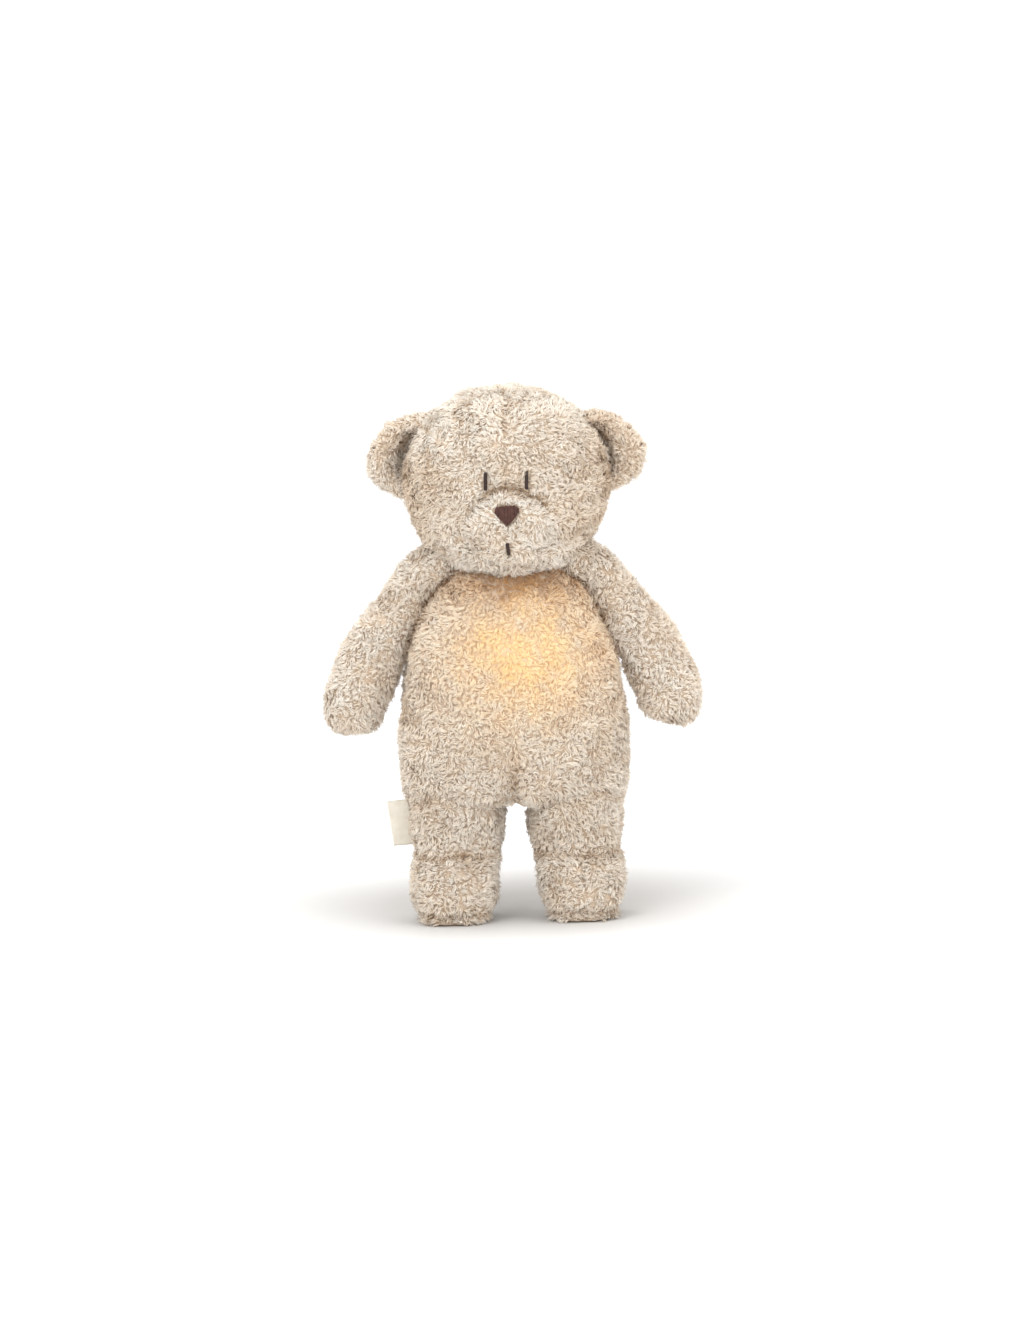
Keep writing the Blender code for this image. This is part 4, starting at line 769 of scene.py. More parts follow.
# Touch fastener: outline share and depth in millimetres of a tape, and where the two tapes lie.
STRIP_ROWS = (
    *((share, 0.0) for share in (0.02, 0.5, 0.9)),
    (0.985, 0.06),
    (1.0, 0.35),
    (0.985, 0.64),
    *((share, 0.7) for share in (0.9, 0.5, 0.02)),
)
HOOK_DEPTH = 4.05
LOOP_DEPTH = 5.75
STRIP_PILE_HALF_WIDTH = STRIP.half_width - 1.6 * MM
STRIP_PILE_HALF_HEIGHT = STRIP.half_height - 1.2 * MM
STRIP_PILE_CURL = 0.28 * MM
HOOK_SPACING = 1.25 * MM
LOOP_SPACING = 1.05 * MM
STRIP_PILE_RADIUS = 0.07 * MM


def strip_pile(depth, reach, hooked):
    """The small hooks, or the small loops, of one half of the touch fastener."""
    rng = np.random.default_rng(151)
    spacing = HOOK_SPACING if hooked else LOOP_SPACING
    turn = np.linspace(0, 1.35 if hooked else 1.0, 6) * math.pi
    curl = STRIP_PILE_CURL * (1 - np.cos(turn))
    skins = []
    for x in np.arange(-STRIP_PILE_HALF_WIDTH, STRIP_PILE_HALF_WIDTH, spacing):
        for z in np.arange(-STRIP_PILE_HALF_HEIGHT, STRIP_PILE_HALF_HEIGHT, spacing):
            wander = rng.normal(0, 0.08 if hooked else 0.3, 2) * MM
            lean = (1.0, 0.0) if hooked else rng.normal(0, 1, 2)
            rise = depth * MM + reach * MM * np.sin(np.minimum(turn, math.pi))
            up = STRIP.middle_z + z + wander[1] + curl * lean[1]
            path = back_points(x + wander[0] + curl * lean[0], up, rise)
            skins.append(strand(path, STRIP_PILE_RADIUS, sides=4, plies=0))
    return skins


# The nose's outline: half width, top, how far its sides run down to the point, and its threads.
NOSE_HALF_WIDTH = 6.6 * MM
NOSE_TOP_Z = 231.4 * MM
NOSE_POINT_Z = 221.2 * MM
NOSE_SIDE_RISE = 7.4 * MM
NOSE_CORNER_DROP = 2.0 * MM
NOSE_THREADS = 19
NOSE_THREAD_RADIUS = 0.46 * MM
NOSE_THREAD_OVERLAP = 0.3 * MM
NOSE_THREAD_WAVER = 0.1 * MM
NOSE_THREAD_SLIP = 0.12 * MM
# How deep the ends of the threads are sewn in, how far they then come out, and the dome over both.
NOSE_SEWN_IN = 1.4 * MM
NOSE_OUT = 1.6 * MM
NOSE_DOME = 1.1 * MM
# The felt under the threads: its front, its dome and its thickness.
FELT_FRONT = 0.1 * MM
FELT_DOME = 0.9 * MM
FELT_THICKNESS = 2.2 * MM
# The pile keeps this far from the nose, beside, under and over it.
NOSE_CLEAR = (0.3 * MM, 0.6 * MM, 0.2 * MM)
EYE_X = 11.2 * MM
EYE_Z = 245.2 * MM
EYE_HALF_HEIGHT = 5.0 * MM
MOUTH_Z = 208.0 * MM
MOUTH_HALF_HEIGHT = 3.4 * MM
STITCH_HALF_WIDTH = 0.95 * MM
# The threads of a bar stitch: sideways, then forward.
BAR_THREADS = ((-0.52 * MM, 0.0), (0.52 * MM, 0.05 * MM), (0.0, 0.38 * MM))
BAR_THREAD_RADIUS = 0.5 * MM
BAR_SEWN_IN = 1.7 * MM
BAR_OUT = 2.3 * MM
EYE_SLANT = 0.15 * MM
MOUTH_SLANT = -0.35 * MM


def nose_edges(x):
    """The heights where the nose starts and ends at each place across."""
    across = np.clip(np.abs(x) / NOSE_HALF_WIDTH, 0, 1)
    top = NOSE_TOP_Z - NOSE_CORNER_DROP * across**5
    return np.minimum(NOSE_POINT_Z + NOSE_SIDE_RISE * across**1.25, top), top


def tucked(share, end):
    """How far a thread stands out: its ends are tucked into the cloth."""
    return np.sin(np.minimum(np.minimum(share, 1 - share) / end, 1) * math.pi / 2)


def nose_dome(x, share):
    return (1 - (x / NOSE_HALF_WIDTH) ** 2) * np.sin(math.pi * share)


def satin_nose():
    rng = np.random.default_rng(71)
    skins = []
    for x in np.linspace(-0.96, 0.96, NOSE_THREADS) * NOSE_HALF_WIDTH:
        low, high = nose_edges(x)
        share = np.linspace(0, 1, 22)
        length = high - low + 2 * NOSE_THREAD_OVERLAP + rng.uniform(-0.25, 0.35) * MM
        z = low - NOSE_THREAD_OVERLAP + length * share
        slip = NOSE_THREAD_SLIP * rng.normal()
        xs = x + slip + NOSE_THREAD_WAVER * np.sin(3 * share + rng.uniform(0, 6))
        out = NOSE_OUT * tucked(share, 0.12) + NOSE_DOME * nose_dome(x, share)
        skins.append(strand(points_of(xs, front_y(xs, z) + NOSE_SEWN_IN - out, z), NOSE_THREAD_RADIUS))
    xs = np.linspace(-1, 1, 30) * NOSE_HALF_WIDTH * 0.97
    share = np.linspace(0, 1, 16)[:, None]
    low, high = nose_edges(xs)
    z = low + (high - low) * share
    front = points_of(xs, front_y(xs, z) - FELT_FRONT - FELT_DOME * nose_dome(xs, share), z)
    return joined([*skins, slab(front, front + (0, FELT_THICKNESS, 0))])


def bar_stitch(x, z, half_height, slant):
    """A short upright bar of three threads, as an eye or a mouth."""
    share = np.linspace(0, 1, 20)
    rise = z + half_height * (2 * share - 1)
    skins = []
    for offset, forward in BAR_THREADS:
        across = x + offset + slant * (2 * share - 1)
        y = front_y(across, rise) + BAR_SEWN_IN - forward - BAR_OUT * tucked(share, 0.14)
        skins.append(strand(points_of(across, y, rise), BAR_THREAD_RADIUS))
    return joined(skins)


def clear_of_stitches(points):
    """True where no thread of the face lies."""
    x, z = points[:, 0], points[:, 2]
    low, high = nose_edges(x)
    beside, under, over = NOSE_CLEAR
    nose = (np.abs(x) < NOSE_HALF_WIDTH + beside) & (z > low - under) & (z < high + over)
    eyes = (np.abs(np.abs(x) - EYE_X) < STITCH_HALF_WIDTH) & (np.abs(z - EYE_Z) < EYE_HALF_HEIGHT)
    mouth = (np.abs(x) < STITCH_HALF_WIDTH) & (np.abs(z - MOUTH_Z) < MOUTH_HALF_HEIGHT)
    return ~((nose | eyes | mouth) & (points[:, 1] < MIDDLE_Y))


LABEL_LOW, LABEL_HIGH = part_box("side_label")
LABEL_MIDDLE = (LABEL_LOW + LABEL_HIGH) / 2
LABEL_TILT = math.radians(7.0)
LABEL_HALF_HEIGHT = 12.7 * MM
LABEL_REACH = 9.8 * MM
LABEL_TAPE = 0.3 * MM
LABEL_RISE = 1.2 * MM
LABEL_FOLD = 0.5 * MM
LABEL_SEWN_IN = 1.6 * MM
LABEL_TWIST = 0.7 * MM
LABEL_BOW = 0.35 * MM


def label_slab():
    """A tape folded double and sewn in by its ends, so that it stands out as a flat loop."""
    straight = LABEL_REACH - LABEL_FOLD
    bend = np.linspace(-math.pi / 2, math.pi / 2, 9)
    out = np.linspace(-0.25, 0.95, 12) * straight
    line = np.concatenate(
        [
            points_of(out, -LABEL_FOLD),
            points_of(straight + LABEL_FOLD * np.cos(bend), LABEL_FOLD * np.sin(bend)),
            points_of(out[::-1], LABEL_FOLD),
        ]
    )
    normals = unit(np.gradient(line, axis=0)[:, ::-1] * (1, -1))
    heights = np.linspace(-1, 1, 25)[:, None]
    grids = []
    for offset in (0.0, -LABEL_TAPE):
        reach, thick = (line + normals * offset).T
        share = reach / LABEL_REACH
        height = LABEL_HALF_HEIGHT * heights * (1 - 0.012 * share)
        bow = LABEL_TWIST * np.sin(1.7 * heights) * share + LABEL_BOW * share**2
        x = LABEL_HIGH.x - LABEL_SEWN_IN - reach * math.cos(LABEL_TILT) - height * math.sin(LABEL_TILT)
        rise = height * math.cos(LABEL_TILT) - 0.6 * reach * math.sin(LABEL_TILT)
        grids.append(points_of(x, LABEL_MIDDLE.y + thick + bow, LABEL_MIDDLE.z + LABEL_RISE + rise))
    return slab(*grids)


# Meshes


def mesh_of(name, shape, tones=None):
    """A mesh from a shape, with the same coordinates in each of its maps where it has tones."""
    mesh = bpy.data.meshes.new(name)
    corners = np.concatenate([shape.quads.reshape(-1), shape.tris.reshape(-1)])
    sizes = np.repeat((4, 3), (len(shape.quads), len(shape.tris)))
    mesh.vertices.add(len(shape.points))
    mesh.vertices.foreach_set("co", shape.points.astype(np.float32).reshape(-1))
    mesh.loops.add(len(corners))
    mesh.loops.foreach_set("vertex_index", corners.astype(np.int32))
    mesh.polygons.add(len(sizes))
    mesh.polygons.foreach_set("loop_start", (np.cumsum(sizes) - sizes).astype(np.int32))
    if tones is not None:
        for word in ("Tone", "OFBake"):
            layer = mesh.uv_layers.new(name=word)
            layer.uv.foreach_set("vector", tones[corners].astype(np.float32).reshape(-1))
    mesh.update(calc_edges=True)
    mesh.shade_smooth()
    return mesh


def thing_of(name, data):
    """An object in the scene that shows some data."""
    thing = bpy.data.objects.new(name, data)
    bpy.context.scene.collection.objects.link(thing)
    return thing


def place(name, form, body, material, replaced=()):
    """Makes a piece of a shape or mesh. It rides on a body, or, where it is given a bend between two bodies,
    it only has its place fixed.
    """
    mesh = mesh_of(name, form) if isinstance(form, Shape) else form
    mesh.materials.append(MATERIALS[material])
    piece = thing_of(name, mesh)
    if isinstance(body, tuple):
        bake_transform(piece)
    else:
        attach(piece, body)
    if replaced:
        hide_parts(*replaced)


# Pile: small curved locks that stand on a skin and lean together in clumps, with a few fine loose hairs

LOCK_STEPS = np.array((-0.08, 0.38, 0.74, 1.0))
LOCK_SIDES = 3
LOCK_TIP = (len(LOCK_STEPS) - 1) * LOCK_SIDES
LOCK_RADIUS = 0.335 * MM
LOCKS_PER_CLUMP = 9
MOST_LOCKS = 12000
FINE_SHARE = 0.13
# Locks that reach the floor lie flat on it.
FLOOR_CLEAR = 0.1 * MM
PILE_PER_MM2 = 1.9
# How far apart the pile's swirls, small swirls, long places and dark places are.
SWIRL_SIZE = 19 * MM
SMALL_SWIRL_SIZE = 7 * MM
LENGTH_WAVE_SIZE = 11 * MM
TONE_WAVE_SIZE = 30 * MM


def lock_faces(count):
    """Quads and triangles of one lock, repeated for each."""
    ring = np.arange(LOCK_SIDES)
    after = (ring + 1) % LOCK_SIDES
    last = LOCK_TIP - LOCK_SIDES
    low = np.arange(0, last, LOCK_SIDES)[:, None]
    high = low + LOCK_SIDES
    quads = points_of(low + ring, low + after, high + after, high + ring).reshape(-1, 4)
    tris = np.concatenate([[(2, 1, 0)], points_of(last + ring, last + after, LOCK_TIP)])
    shift = (np.arange(count) * (LOCK_TIP + 1))[:, None, None]
    return (shift + quads).reshape(-1, 4), (shift + tris).reshape(-1, 3)


class Pile:
    """Where the locks of one skin stand, and which way each leans."""

    def __init__(self, skin, keep, lay, seed):
        self.rng = np.random.default_rng(seed)
        corners = skin.triangles()
        a, b, c = skin.corners()
        areas = np.linalg.norm(np.cross(b - a, c - a), axis=1) / 2
        count = int(areas.sum() / MM**2 * PILE_PER_MM2)
        chosen = np.searchsorted(np.cumsum(areas), self.rng.uniform(0, areas.sum(), count))
        corners = corners[np.minimum(chosen, len(areas) - 1)]
        weights = self.rng.dirichlet((1, 1, 1), count)
        roots = np.einsum("ij,ijk->ik", weights, skin.points[corners])
        normals = unit(np.einsum("ij,ijk->ik", weights, skin.normals()[corners]))
        kept = keep(roots, normals)
        self.roots = roots[kept]
        self.normals = normals[kept]
        self.gather()
        flow = lay(self.roots, self.normals)
        flow = flow - self.normals * np.einsum("ij,ij->i", flow, self.normals)[:, None]
        self.lays = self.swirled(unit(flow), seed)
        self.fine = self.rng.uniform(size=len(self.roots)) < FINE_SHARE

    def gather(self):
        """Gives each lock its clump, the nearest of a chosen few roots."""
        self.leaders = self.rng.permutation(len(self.roots))[: max(len(self.roots) // LOCKS_PER_CLUMP, 1)]
        tree = KDTree(len(self.leaders))
        for number, leader in enumerate(self.leaders):
            tree.insert(self.roots[leader], number)
        tree.balance()
        self.clump = np.array([tree.find(root)[1] for root in self.roots])

    def swirled(self, flow, seed):
        turn = 1.15 * waves(self.roots, SWIRL_SIZE, seed + 1)
        turn += 0.5 * waves(self.roots, SMALL_SWIRL_SIZE, seed + 2)
        turn += self.rng.normal(0, 0.55, len(self.leaders))[self.clump]
        turn += self.rng.normal(0, 0.22, len(self.roots))
        across = np.cross(self.normals, flow)
        return flow * np.cos(turn)[:, None] + across * np.sin(turn)[:, None]

    def shapes(self, length):
        """The points of every lock: a ring at each step along it, and its tip."""
        count, clumps, rng = len(self.roots), len(self.leaders), self.rng
        size = length * rng.uniform(0.72, 1.2, count) * (1 + 0.10 * waves(self.roots, LENGTH_WAVE_SIZE, 17))
        stand = rng.uniform(0.50, 0.92, count) * rng.uniform(0.8, 1.2, clumps)[self.clump]
        phase = rng.uniform(0, math.tau, clumps)[self.clump] + rng.normal(0, 0.5, count)
        thick = LOCK_RADIUS * rng.uniform(0.75, 1.25, count)
        size, stand, phase, thick, fine = (one[:, None] for one in (size, stand, phase, thick, self.fine))
        size = size * np.where(fine, 1.22, 1.0)
        stand = stand * np.where(fine, 1.25, 1.0)
        thick = thick * np.where(fine, 0.4, 1.0)
        side = np.cross(self.normals, self.lays)
        gather = (self.roots[self.leaders][self.clump] - self.roots) * np.where(fine, 0.2, 0.56)
        points = []
        for step in LOCK_STEPS:
            out = max(step, 0)
            up = size * stand * step * (1 - 0.36 * step)
            lean = size * (0.16 * step + 0.42 * step * step)
            wave = 0.17 * size * np.sin(phase + 4.6 * step) * step
            middle = self.roots + self.normals * up + self.lays * lean + side * wave + gather * out**1.3
            width = thick * (1.0 - 0.62 * out**1.8)
            for angle in turns(LOCK_SIDES):
                flat = (self.normals - 0.5 * self.lays) * (0.65 * width * math.sin(angle))
                points.append(middle + side * (width * math.cos(angle)) + flat)
        points = np.stack([*points[:LOCK_TIP], middle], axis=1)
        points[:, :, 2] = np.maximum(points[:, :, 2], FLOOR_CLEAR)
        return points

    def tones(self, glow, shade):
        """Each point's place on the tone map: across it the glow, up it from dark roots to pale tips, moved
        up or down by the painted shade and highlights given for its root.
        """
        count, clumps = len(self.roots), len(self.leaders)
        tone = shade + 0.05 * waves(self.roots, TONE_WAVE_SIZE, 23) + self.rng.normal(0, 0.05, count)
        tone += self.rng.normal(0, 0.055, clumps)[self.clump]
        specks = self.rng.uniform(size=clumps) < 0.10
        tone -= 0.16 * specks[self.clump] * self.rng.uniform(0, 1, count)
        number = np.arange(LOCK_TIP + 1)
        step = np.maximum(LOCK_STEPS[number // LOCK_SIDES], 0)
        height = np.clip(0.30 + 0.50 * step**0.7 + tone[:, None], 0.02, 0.98)
        return points_of(0.02 + 0.95 * glow[:, None] + 0.004 * (number % LOCK_SIDES), height)

    def make(self, name, body, length, shade, glow=None):
        points = self.shapes(length)
        tones = self.tones(np.zeros(len(self.roots)) if glow is None else glow(self.roots), shade(self.roots))
        pieces = math.ceil(len(self.roots) / MOST_LOCKS)
        away = self.roots - self.roots.mean(axis=0)
        order = np.argsort(np.arctan2(away[:, 0], away[:, 1]))
        for number, share in enumerate(np.array_split(order, pieces), 1):
            label = name if pieces == 1 else f"{name}_{number}"
            locks = Shape(points[share].reshape(-1, 3), *lock_faces(len(share)))
            place(label, mesh_of(label, locks, tones[share].reshape(-1, 2)), body, "pile")


# Materials

# The colour of the lamps' light on the module.
EMBER = (1.0, 0.66, 0.32)


class Nodes:
    """A material's node tree, with short calls to add and join nodes."""

    def __init__(self, name):
        self.material = bpy.data.materials.new(name)
        self.material.use_nodes = True
        self.material.cycles.emission_sampling = "NONE"
        self.tree = self.material.node_tree
        self.shader = self.tree.nodes["Principled BSDF"]

    def give(self, socket, value):
        """Joins an output to a socket, or sets the socket to a number, a place or a colour."""
        if isinstance(value, bpy.types.NodeSocket):
            self.tree.links.new(value, socket)
        elif isinstance(value, tuple) and len(socket.default_value) == 4:
            socket.default_value = (*value, 1.0)
        else:
            socket.default_value = value

    def add(self, kind, *inputs, **values):
        """A node with its own values set, then its sockets, by order or by name."""
        node = self.tree.nodes.new("ShaderNode" + kind)
        for key, value in values.items():
            if hasattr(node, key):
                setattr(node, key, value)
            else:
                self.give(node.inputs[key.replace("_", " ")], value)
        for socket, value in zip(node.inputs, inputs):
            self.give(socket, value)
        return node

    def dress(self, **sockets):
        """Gives the shader its sockets and returns the finished material."""
        for key, value in sockets.items():
            self.give(self.shader.inputs[key.replace("_", " ")], value)
        return self.material

    def coordinates(self):
        return self.add("TexCoord").outputs["Object"]

    def ramp(self, factor, *stops):
        """A colour ramp from places and linear colours."""
        node = self.add("ValToRGB", factor)
        marks = node.color_ramp.elements
        while len(marks) < len(stops):
            marks.new(0.5)
        for stop, (position, colour) in zip(marks, stops):
            stop.position = position
            stop.color = (*colour, 1.0)
        return node.outputs["Color"]

    def sums(self, operation, first, second):
        return self.add("Math", first, second, operation=operation).outputs[0]

    def line(self, value, times, plus):
        return self.sums("ADD", self.sums("MULTIPLY", value, times), plus)

    def shared(self, first, second, share):
        """Two values added, the first by its share and the second by the rest."""
        return self.sums("ADD", self.sums("MULTIPLY", first, share), self.sums("MULTIPLY", second, 1 - share))

    def vector(self, operation, *inputs):
        return self.add("VectorMath", *inputs, operation=operation).outputs["Vector"]

    def length(self, operation, *inputs):
        return self.add("VectorMath", *inputs, operation=operation).outputs["Value"]

    def fade(self, value, far, near, low, high):
        """Softly from low at far to high at near."""
        ends = {"From_Min": far, "From_Max": near, "To_Min": low, "To_Max": high}
        return self.add("MapRange", interpolation_type="SMOOTHSTEP", Value=value, **ends).outputs[0]

    def blend(self, factor, first, second, blend_type="MIX"):
        node = self.add("Mix", factor, data_type="RGBA", blend_type=blend_type)
        self.give(node.inputs[6], first)
        self.give(node.inputs[7], second)
        return node.outputs[2]

    def noise(self, scale, detail=3.0):
        node = self.add("TexNoise", Vector=self.coordinates(), Scale=scale, Detail=detail, Roughness=0.55)
        return node.outputs["Fac"]

    def bump(self, height, strength, distance):
        node = self.add("Bump", Height=height, Strength=strength, Distance=distance)
        return node.outputs["Normal"]


def pile_material():
    """Pile read from the tone map: shade up it, glow across it."""
    nodes = Nodes("plush_pile")
    split = nodes.add("SeparateXYZ", nodes.add("UVMap", uv_map="Tone").outputs[0])
    glow, shade = split.outputs[0], split.outputs[1]
    colour = nodes.ramp(
        shade,
        (0.04, (0.40, 0.27, 0.17)),
        (0.26, (0.73, 0.59, 0.45)),
        (0.52, (0.885, 0.775, 0.645)),
        (0.88, (0.955, 0.90, 0.82)),
    )
    # The glow's light is also painted into the pile's colour, as a warm tint besides its emission.
    glow_tint = nodes.blend(glow, (1.0, 1.0, 1.0), (1.0, 0.92, 0.66))
    lit = nodes.ramp(glow, (0.0, (1.0, 0.40, 0.14)), (0.45, (1.0, 0.47, 0.16)), (1.0, (1.0, 0.62, 0.22)))
    strength = nodes.sums("MULTIPLY", nodes.sums("SUBTRACT", 1.25, shade), GLOW_STRENGTH)
    return nodes.dress(
        Base_Color=nodes.blend(1.0, colour, glow_tint, "MULTIPLY"),
        Emission_Color=lit,
        Emission_Strength=nodes.sums("MULTIPLY", glow, strength),
        Roughness=nodes.line(shade, -0.15, 1.0),
        Sheen_Weight=0.28,
        Sheen_Tint=(1.0, 0.93, 0.85),
        Sheen_Roughness=0.45,
        Specular_IOR_Level=0.15,
    )


def fabric_material(name, dark, pale, scale, glow=False):
    """Cloth with a fine knit, uneven tone and, where asked, the glow of the module behind it."""
    nodes = Nodes(name)
    patches, grain = nodes.noise(60.0), nodes.noise(scale, 2.0)
    if glow:
        half_size = (GLOW_HALF_WIDTH, GLOW_HALF_DEPTH, GLOW_HALF_HEIGHT)
        offset = nodes.vector("SUBTRACT", nodes.coordinates(), (GLOW_X, MIDDLE_Y - GLOW_HALF_DEPTH, GLOW_Z))
        away = nodes.length("LENGTH", nodes.vector("DIVIDE", offset, half_size))
        strength = nodes.sums("MULTIPLY", nodes.fade(away, 1.5, 0.0, 0.0, 1.0), GLOW_STRENGTH)
        nodes.dress(Emission_Color=(1.0, 0.62, 0.28), Emission_Strength=strength)
    return nodes.dress(
        Base_Color=nodes.ramp(nodes.shared(patches, grain, 0.5), (0.32, dark), (0.68, pale)),
        Normal=nodes.bump(grain, 0.6, 0.4 * MM),
        Roughness=0.95,
        Sheen_Weight=0.2,
        Specular_IOR_Level=0.2,
    )


def thread_material(name, dark, pale):
    """Glossy embroidery thread with fine fibres along its plies."""
    nodes = Nodes(name)
    fibres, patches = nodes.noise(2600.0, 2.0), nodes.noise(320.0)
    return nodes.dress(
        Base_Color=nodes.ramp(nodes.shared(fibres, patches, 0.5), (0.3, dark), (0.7, pale)),
        Normal=nodes.bump(fibres, 0.4, 0.1 * MM),
        Roughness=0.6,
        Sheen_Weight=0.04,
        Specular_IOR_Level=0.3,
    )


def woven_material(name, dark, pale, threads_per_m):
    """Tape woven over and under, with a raised grain."""
    nodes = Nodes(name)
    look = {"wave_type": "BANDS", "Scale": threads_per_m * math.tau / 20}
    across, along = (
        nodes.add("TexWave", nodes.coordinates(), bands_direction=way, **look).outputs["Fac"] for way in "XZ"
    )
    weave = nodes.sums("MULTIPLY", across, along)
    return nodes.dress(
        Base_Color=nodes.ramp(nodes.shared(weave, nodes.noise(150.0), 0.45), (0.2, dark), (0.7, pale)),
        Normal=nodes.bump(weave, 0.7, 0.15 * MM),
        Roughness=0.8,
        Sheen_Weight=0.15,
    )


def moulded_material(name, dark, pale, grain, roughness, emission=0.0):
    """Moulded plastic or rubber: a fine grain, uneven tone and worn patches that are paler and shinier."""
    nodes = Nodes(name)
    patches, fine = nodes.noise(90.0), nodes.noise(grain, 4.0)
    if emission:
        nodes.dress(Emission_Color=EMBER, Emission_Strength=emission)
    return nodes.dress(
        Base_Color=nodes.ramp(nodes.shared(patches, fine, 0.7), (0.35, dark), (0.65, pale)),
        Roughness=nodes.line(patches, -0.2, roughness + 0.1),
        Normal=nodes.bump(fine, 0.25, 0.05 * MM),
    )


LED_PLACES = (-13.0 * MM, 0.0, 13.0 * MM)
LED_Y = MIDDLE_Y - 8 * MM
LED_Z = 156.0 * MM
# Each lamp's light on the diffuser, from where it is faint to where it is full.
LED_FADE = (34 * MM, 4 * MM)


def diffuser_material():
    """Milky plastic, lit from behind by the three lamps."""
    nodes = Nodes("milky_diffuser")
    fine = nodes.noise(1500.0, 3.0)
    level = 0.0
    for x in LED_PLACES:
        away = nodes.length("DISTANCE", nodes.coordinates(), (x, LED_Y, LED_Z))
        level = nodes.sums("ADD", level, nodes.fade(away, *LED_FADE, 0.05, 0.6))
    return nodes.dress(
        Base_Color=nodes.ramp(fine, (0.3, (0.86, 0.82, 0.74)), (0.7, (0.93, 0.90, 0.84))),
        Emission_Color=EMBER,
        Emission_Strength=level,
        Roughness=0.38,
        Normal=nodes.bump(fine, 0.15, 0.05 * MM),
    )


def board_material():
    """Solder mask over fine copper tracks, with tinned pads here and there."""
    nodes = Nodes("board_mask")
    cells = nodes.add(
        "TexVoronoi", nodes.coordinates(), feature="DISTANCE_TO_EDGE", distance="CHEBYCHEV", Scale=330.0
    )
    dots = nodes.add("TexVoronoi", nodes.coordinates(), Scale=420.0)
    tracks = nodes.sums("LESS_THAN", cells.outputs["Distance"], 0.07)
    pads = nodes.sums("LESS_THAN", dots.outputs["Distance"], 0.2)
    green = nodes.blend(tracks, (0.02, 0.13, 0.06), (0.045, 0.26, 0.12))
    return nodes.dress(
        Base_Color=nodes.blend(pads, green, (0.55, 0.53, 0.48)),
        Roughness=nodes.line(pads, -0.1, 0.38),
        Normal=nodes.bump(tracks, 0.4, 0.05 * MM),
    )


def metal_material(name, dark, pale, roughness, metallic=1.0):
    """Plated or painted metal with fine drawn lines and patches of wear."""
    nodes = Nodes(name)
    drawn = nodes.add("Mapping", Vector=nodes.coordinates(), Scale=(1.0, 1.0, 0.08)).outputs[0]
    lines = nodes.add("TexNoise", Vector=drawn, Scale=900.0, Detail=2.0).outputs["Fac"]
    return nodes.dress(
        Base_Color=nodes.ramp(lines, (0.35, dark), (0.65, pale)),
        Roughness=nodes.line(nodes.noise(260.0), 0.2, roughness - 0.1),
        Normal=nodes.bump(lines, 0.12, 0.03 * MM),
        Metallic=metallic,
    )


def cell_material():
    """A plain wrapped cell: a dark sleeve with a paler band, and bare steel at both ends."""
    nodes = Nodes("plain_cell")
    height = nodes.add("SeparateXYZ", nodes.coordinates()).outputs[2]
    low, high = (corner.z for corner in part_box("battery_1"))
    share = nodes.sums("DIVIDE", nodes.sums("SUBTRACT", height, low), high - low)
    steel, sleeve, band = (0.62, 0.61, 0.58), (0.035, 0.05, 0.075), (0.42, 0.46, 0.50)
    stops = ((0.012, steel), (0.016, sleeve), (0.74, sleeve), (0.75, band), (0.95, band), (0.955, steel))
    scuffs = nodes.noise(500.0, 4.0)
    wear = nodes.sums("MULTIPLY", scuffs, 0.15)
    return nodes.dress(
        Base_Color=nodes.blend(wear, nodes.ramp(share, *stops), (0.7, 0.7, 0.7)),
        Roughness=nodes.line(scuffs, 0.2, 0.2),
        Metallic=0.35,
        Normal=nodes.bump(scuffs, 0.08, 0.02 * MM),
    )


def cone_material():
    """Pressed paper cone with pressed rings round its middle."""
    nodes = Nodes("paper_cone")
    low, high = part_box("speaker_cone")
    offset = nodes.vector("SUBTRACT", nodes.coordinates(), tuple((low + high) / 2))
    rings = nodes.add("TexWave", offset, wave_type="RINGS", rings_direction="Y", Scale=260.0).outputs["Fac"]
    fibres = nodes.noise(1800.0, 3.0)
    return nodes.dress(
        Base_Color=nodes.ramp(fibres, (0.3, (0.012, 0.012, 0.013)), (0.7, (0.05, 0.05, 0.05))),
        Normal=nodes.bump(nodes.sums("ADD", rings, nodes.sums("MULTIPLY", fibres, 0.3)), 0.5, 0.15 * MM),
        Roughness=0.75,
    )


MATERIALS = {
    "pile": pile_material(),
    "thread": thread_material("nose_thread", (0.036, 0.013, 0.009), (0.110, 0.044, 0.031)),
    "dark_thread": thread_material("eye_thread", (0.014, 0.007, 0.006), (0.050, 0.026, 0.021)),
    "sole": fabric_material("sole_cloth", (0.42, 0.32, 0.24), (0.68, 0.57, 0.46), 700.0),
    "seam_thread": moulded_material("seam_thread", (0.62, 0.54, 0.43), (0.78, 0.70, 0.58), 2500.0, 0.7),
    "lining": woven_material("lining_cloth", (0.58, 0.51, 0.41), (0.76, 0.69, 0.58), 1500.0),
    "fastener": woven_material("fastener_tape", (0.42, 0.35, 0.27), (0.60, 0.52, 0.41), 1200.0),
    "label": woven_material("label_tape", (0.62, 0.56, 0.46), (0.86, 0.82, 0.74), 1500.0),
    # The backing's tone is the cloth's own, made darker in part as a painted shade for the gaps deep among
    # the pile's locks.
    "backing": fabric_material("plush_backing", (0.50, 0.38, 0.275), (0.71, 0.585, 0.46), 900.0),
    "lit": fabric_material("plush_backing_lit", (0.55, 0.43, 0.32), (0.72, 0.60, 0.48), 900.0, glow=True),
    "ink": moulded_material("symbol_ink", (0.72, 0.69, 0.63), (0.82, 0.79, 0.73), 2500.0, 0.6),
}


# The studio

# Lamps: place, size in metres and power in watts.
LAMPS = (
    ("key", (-0.9, -1.6, 1.7), 1.3, 20.0),
    ("fill", (1.4, -1.3, 1.0), 1.6, 11.0),
    ("top", (0.0, 0.3, 2.0), 1.6, 15.0),
)
LAMP_TARGET = Vector((0, 0, 0.15))
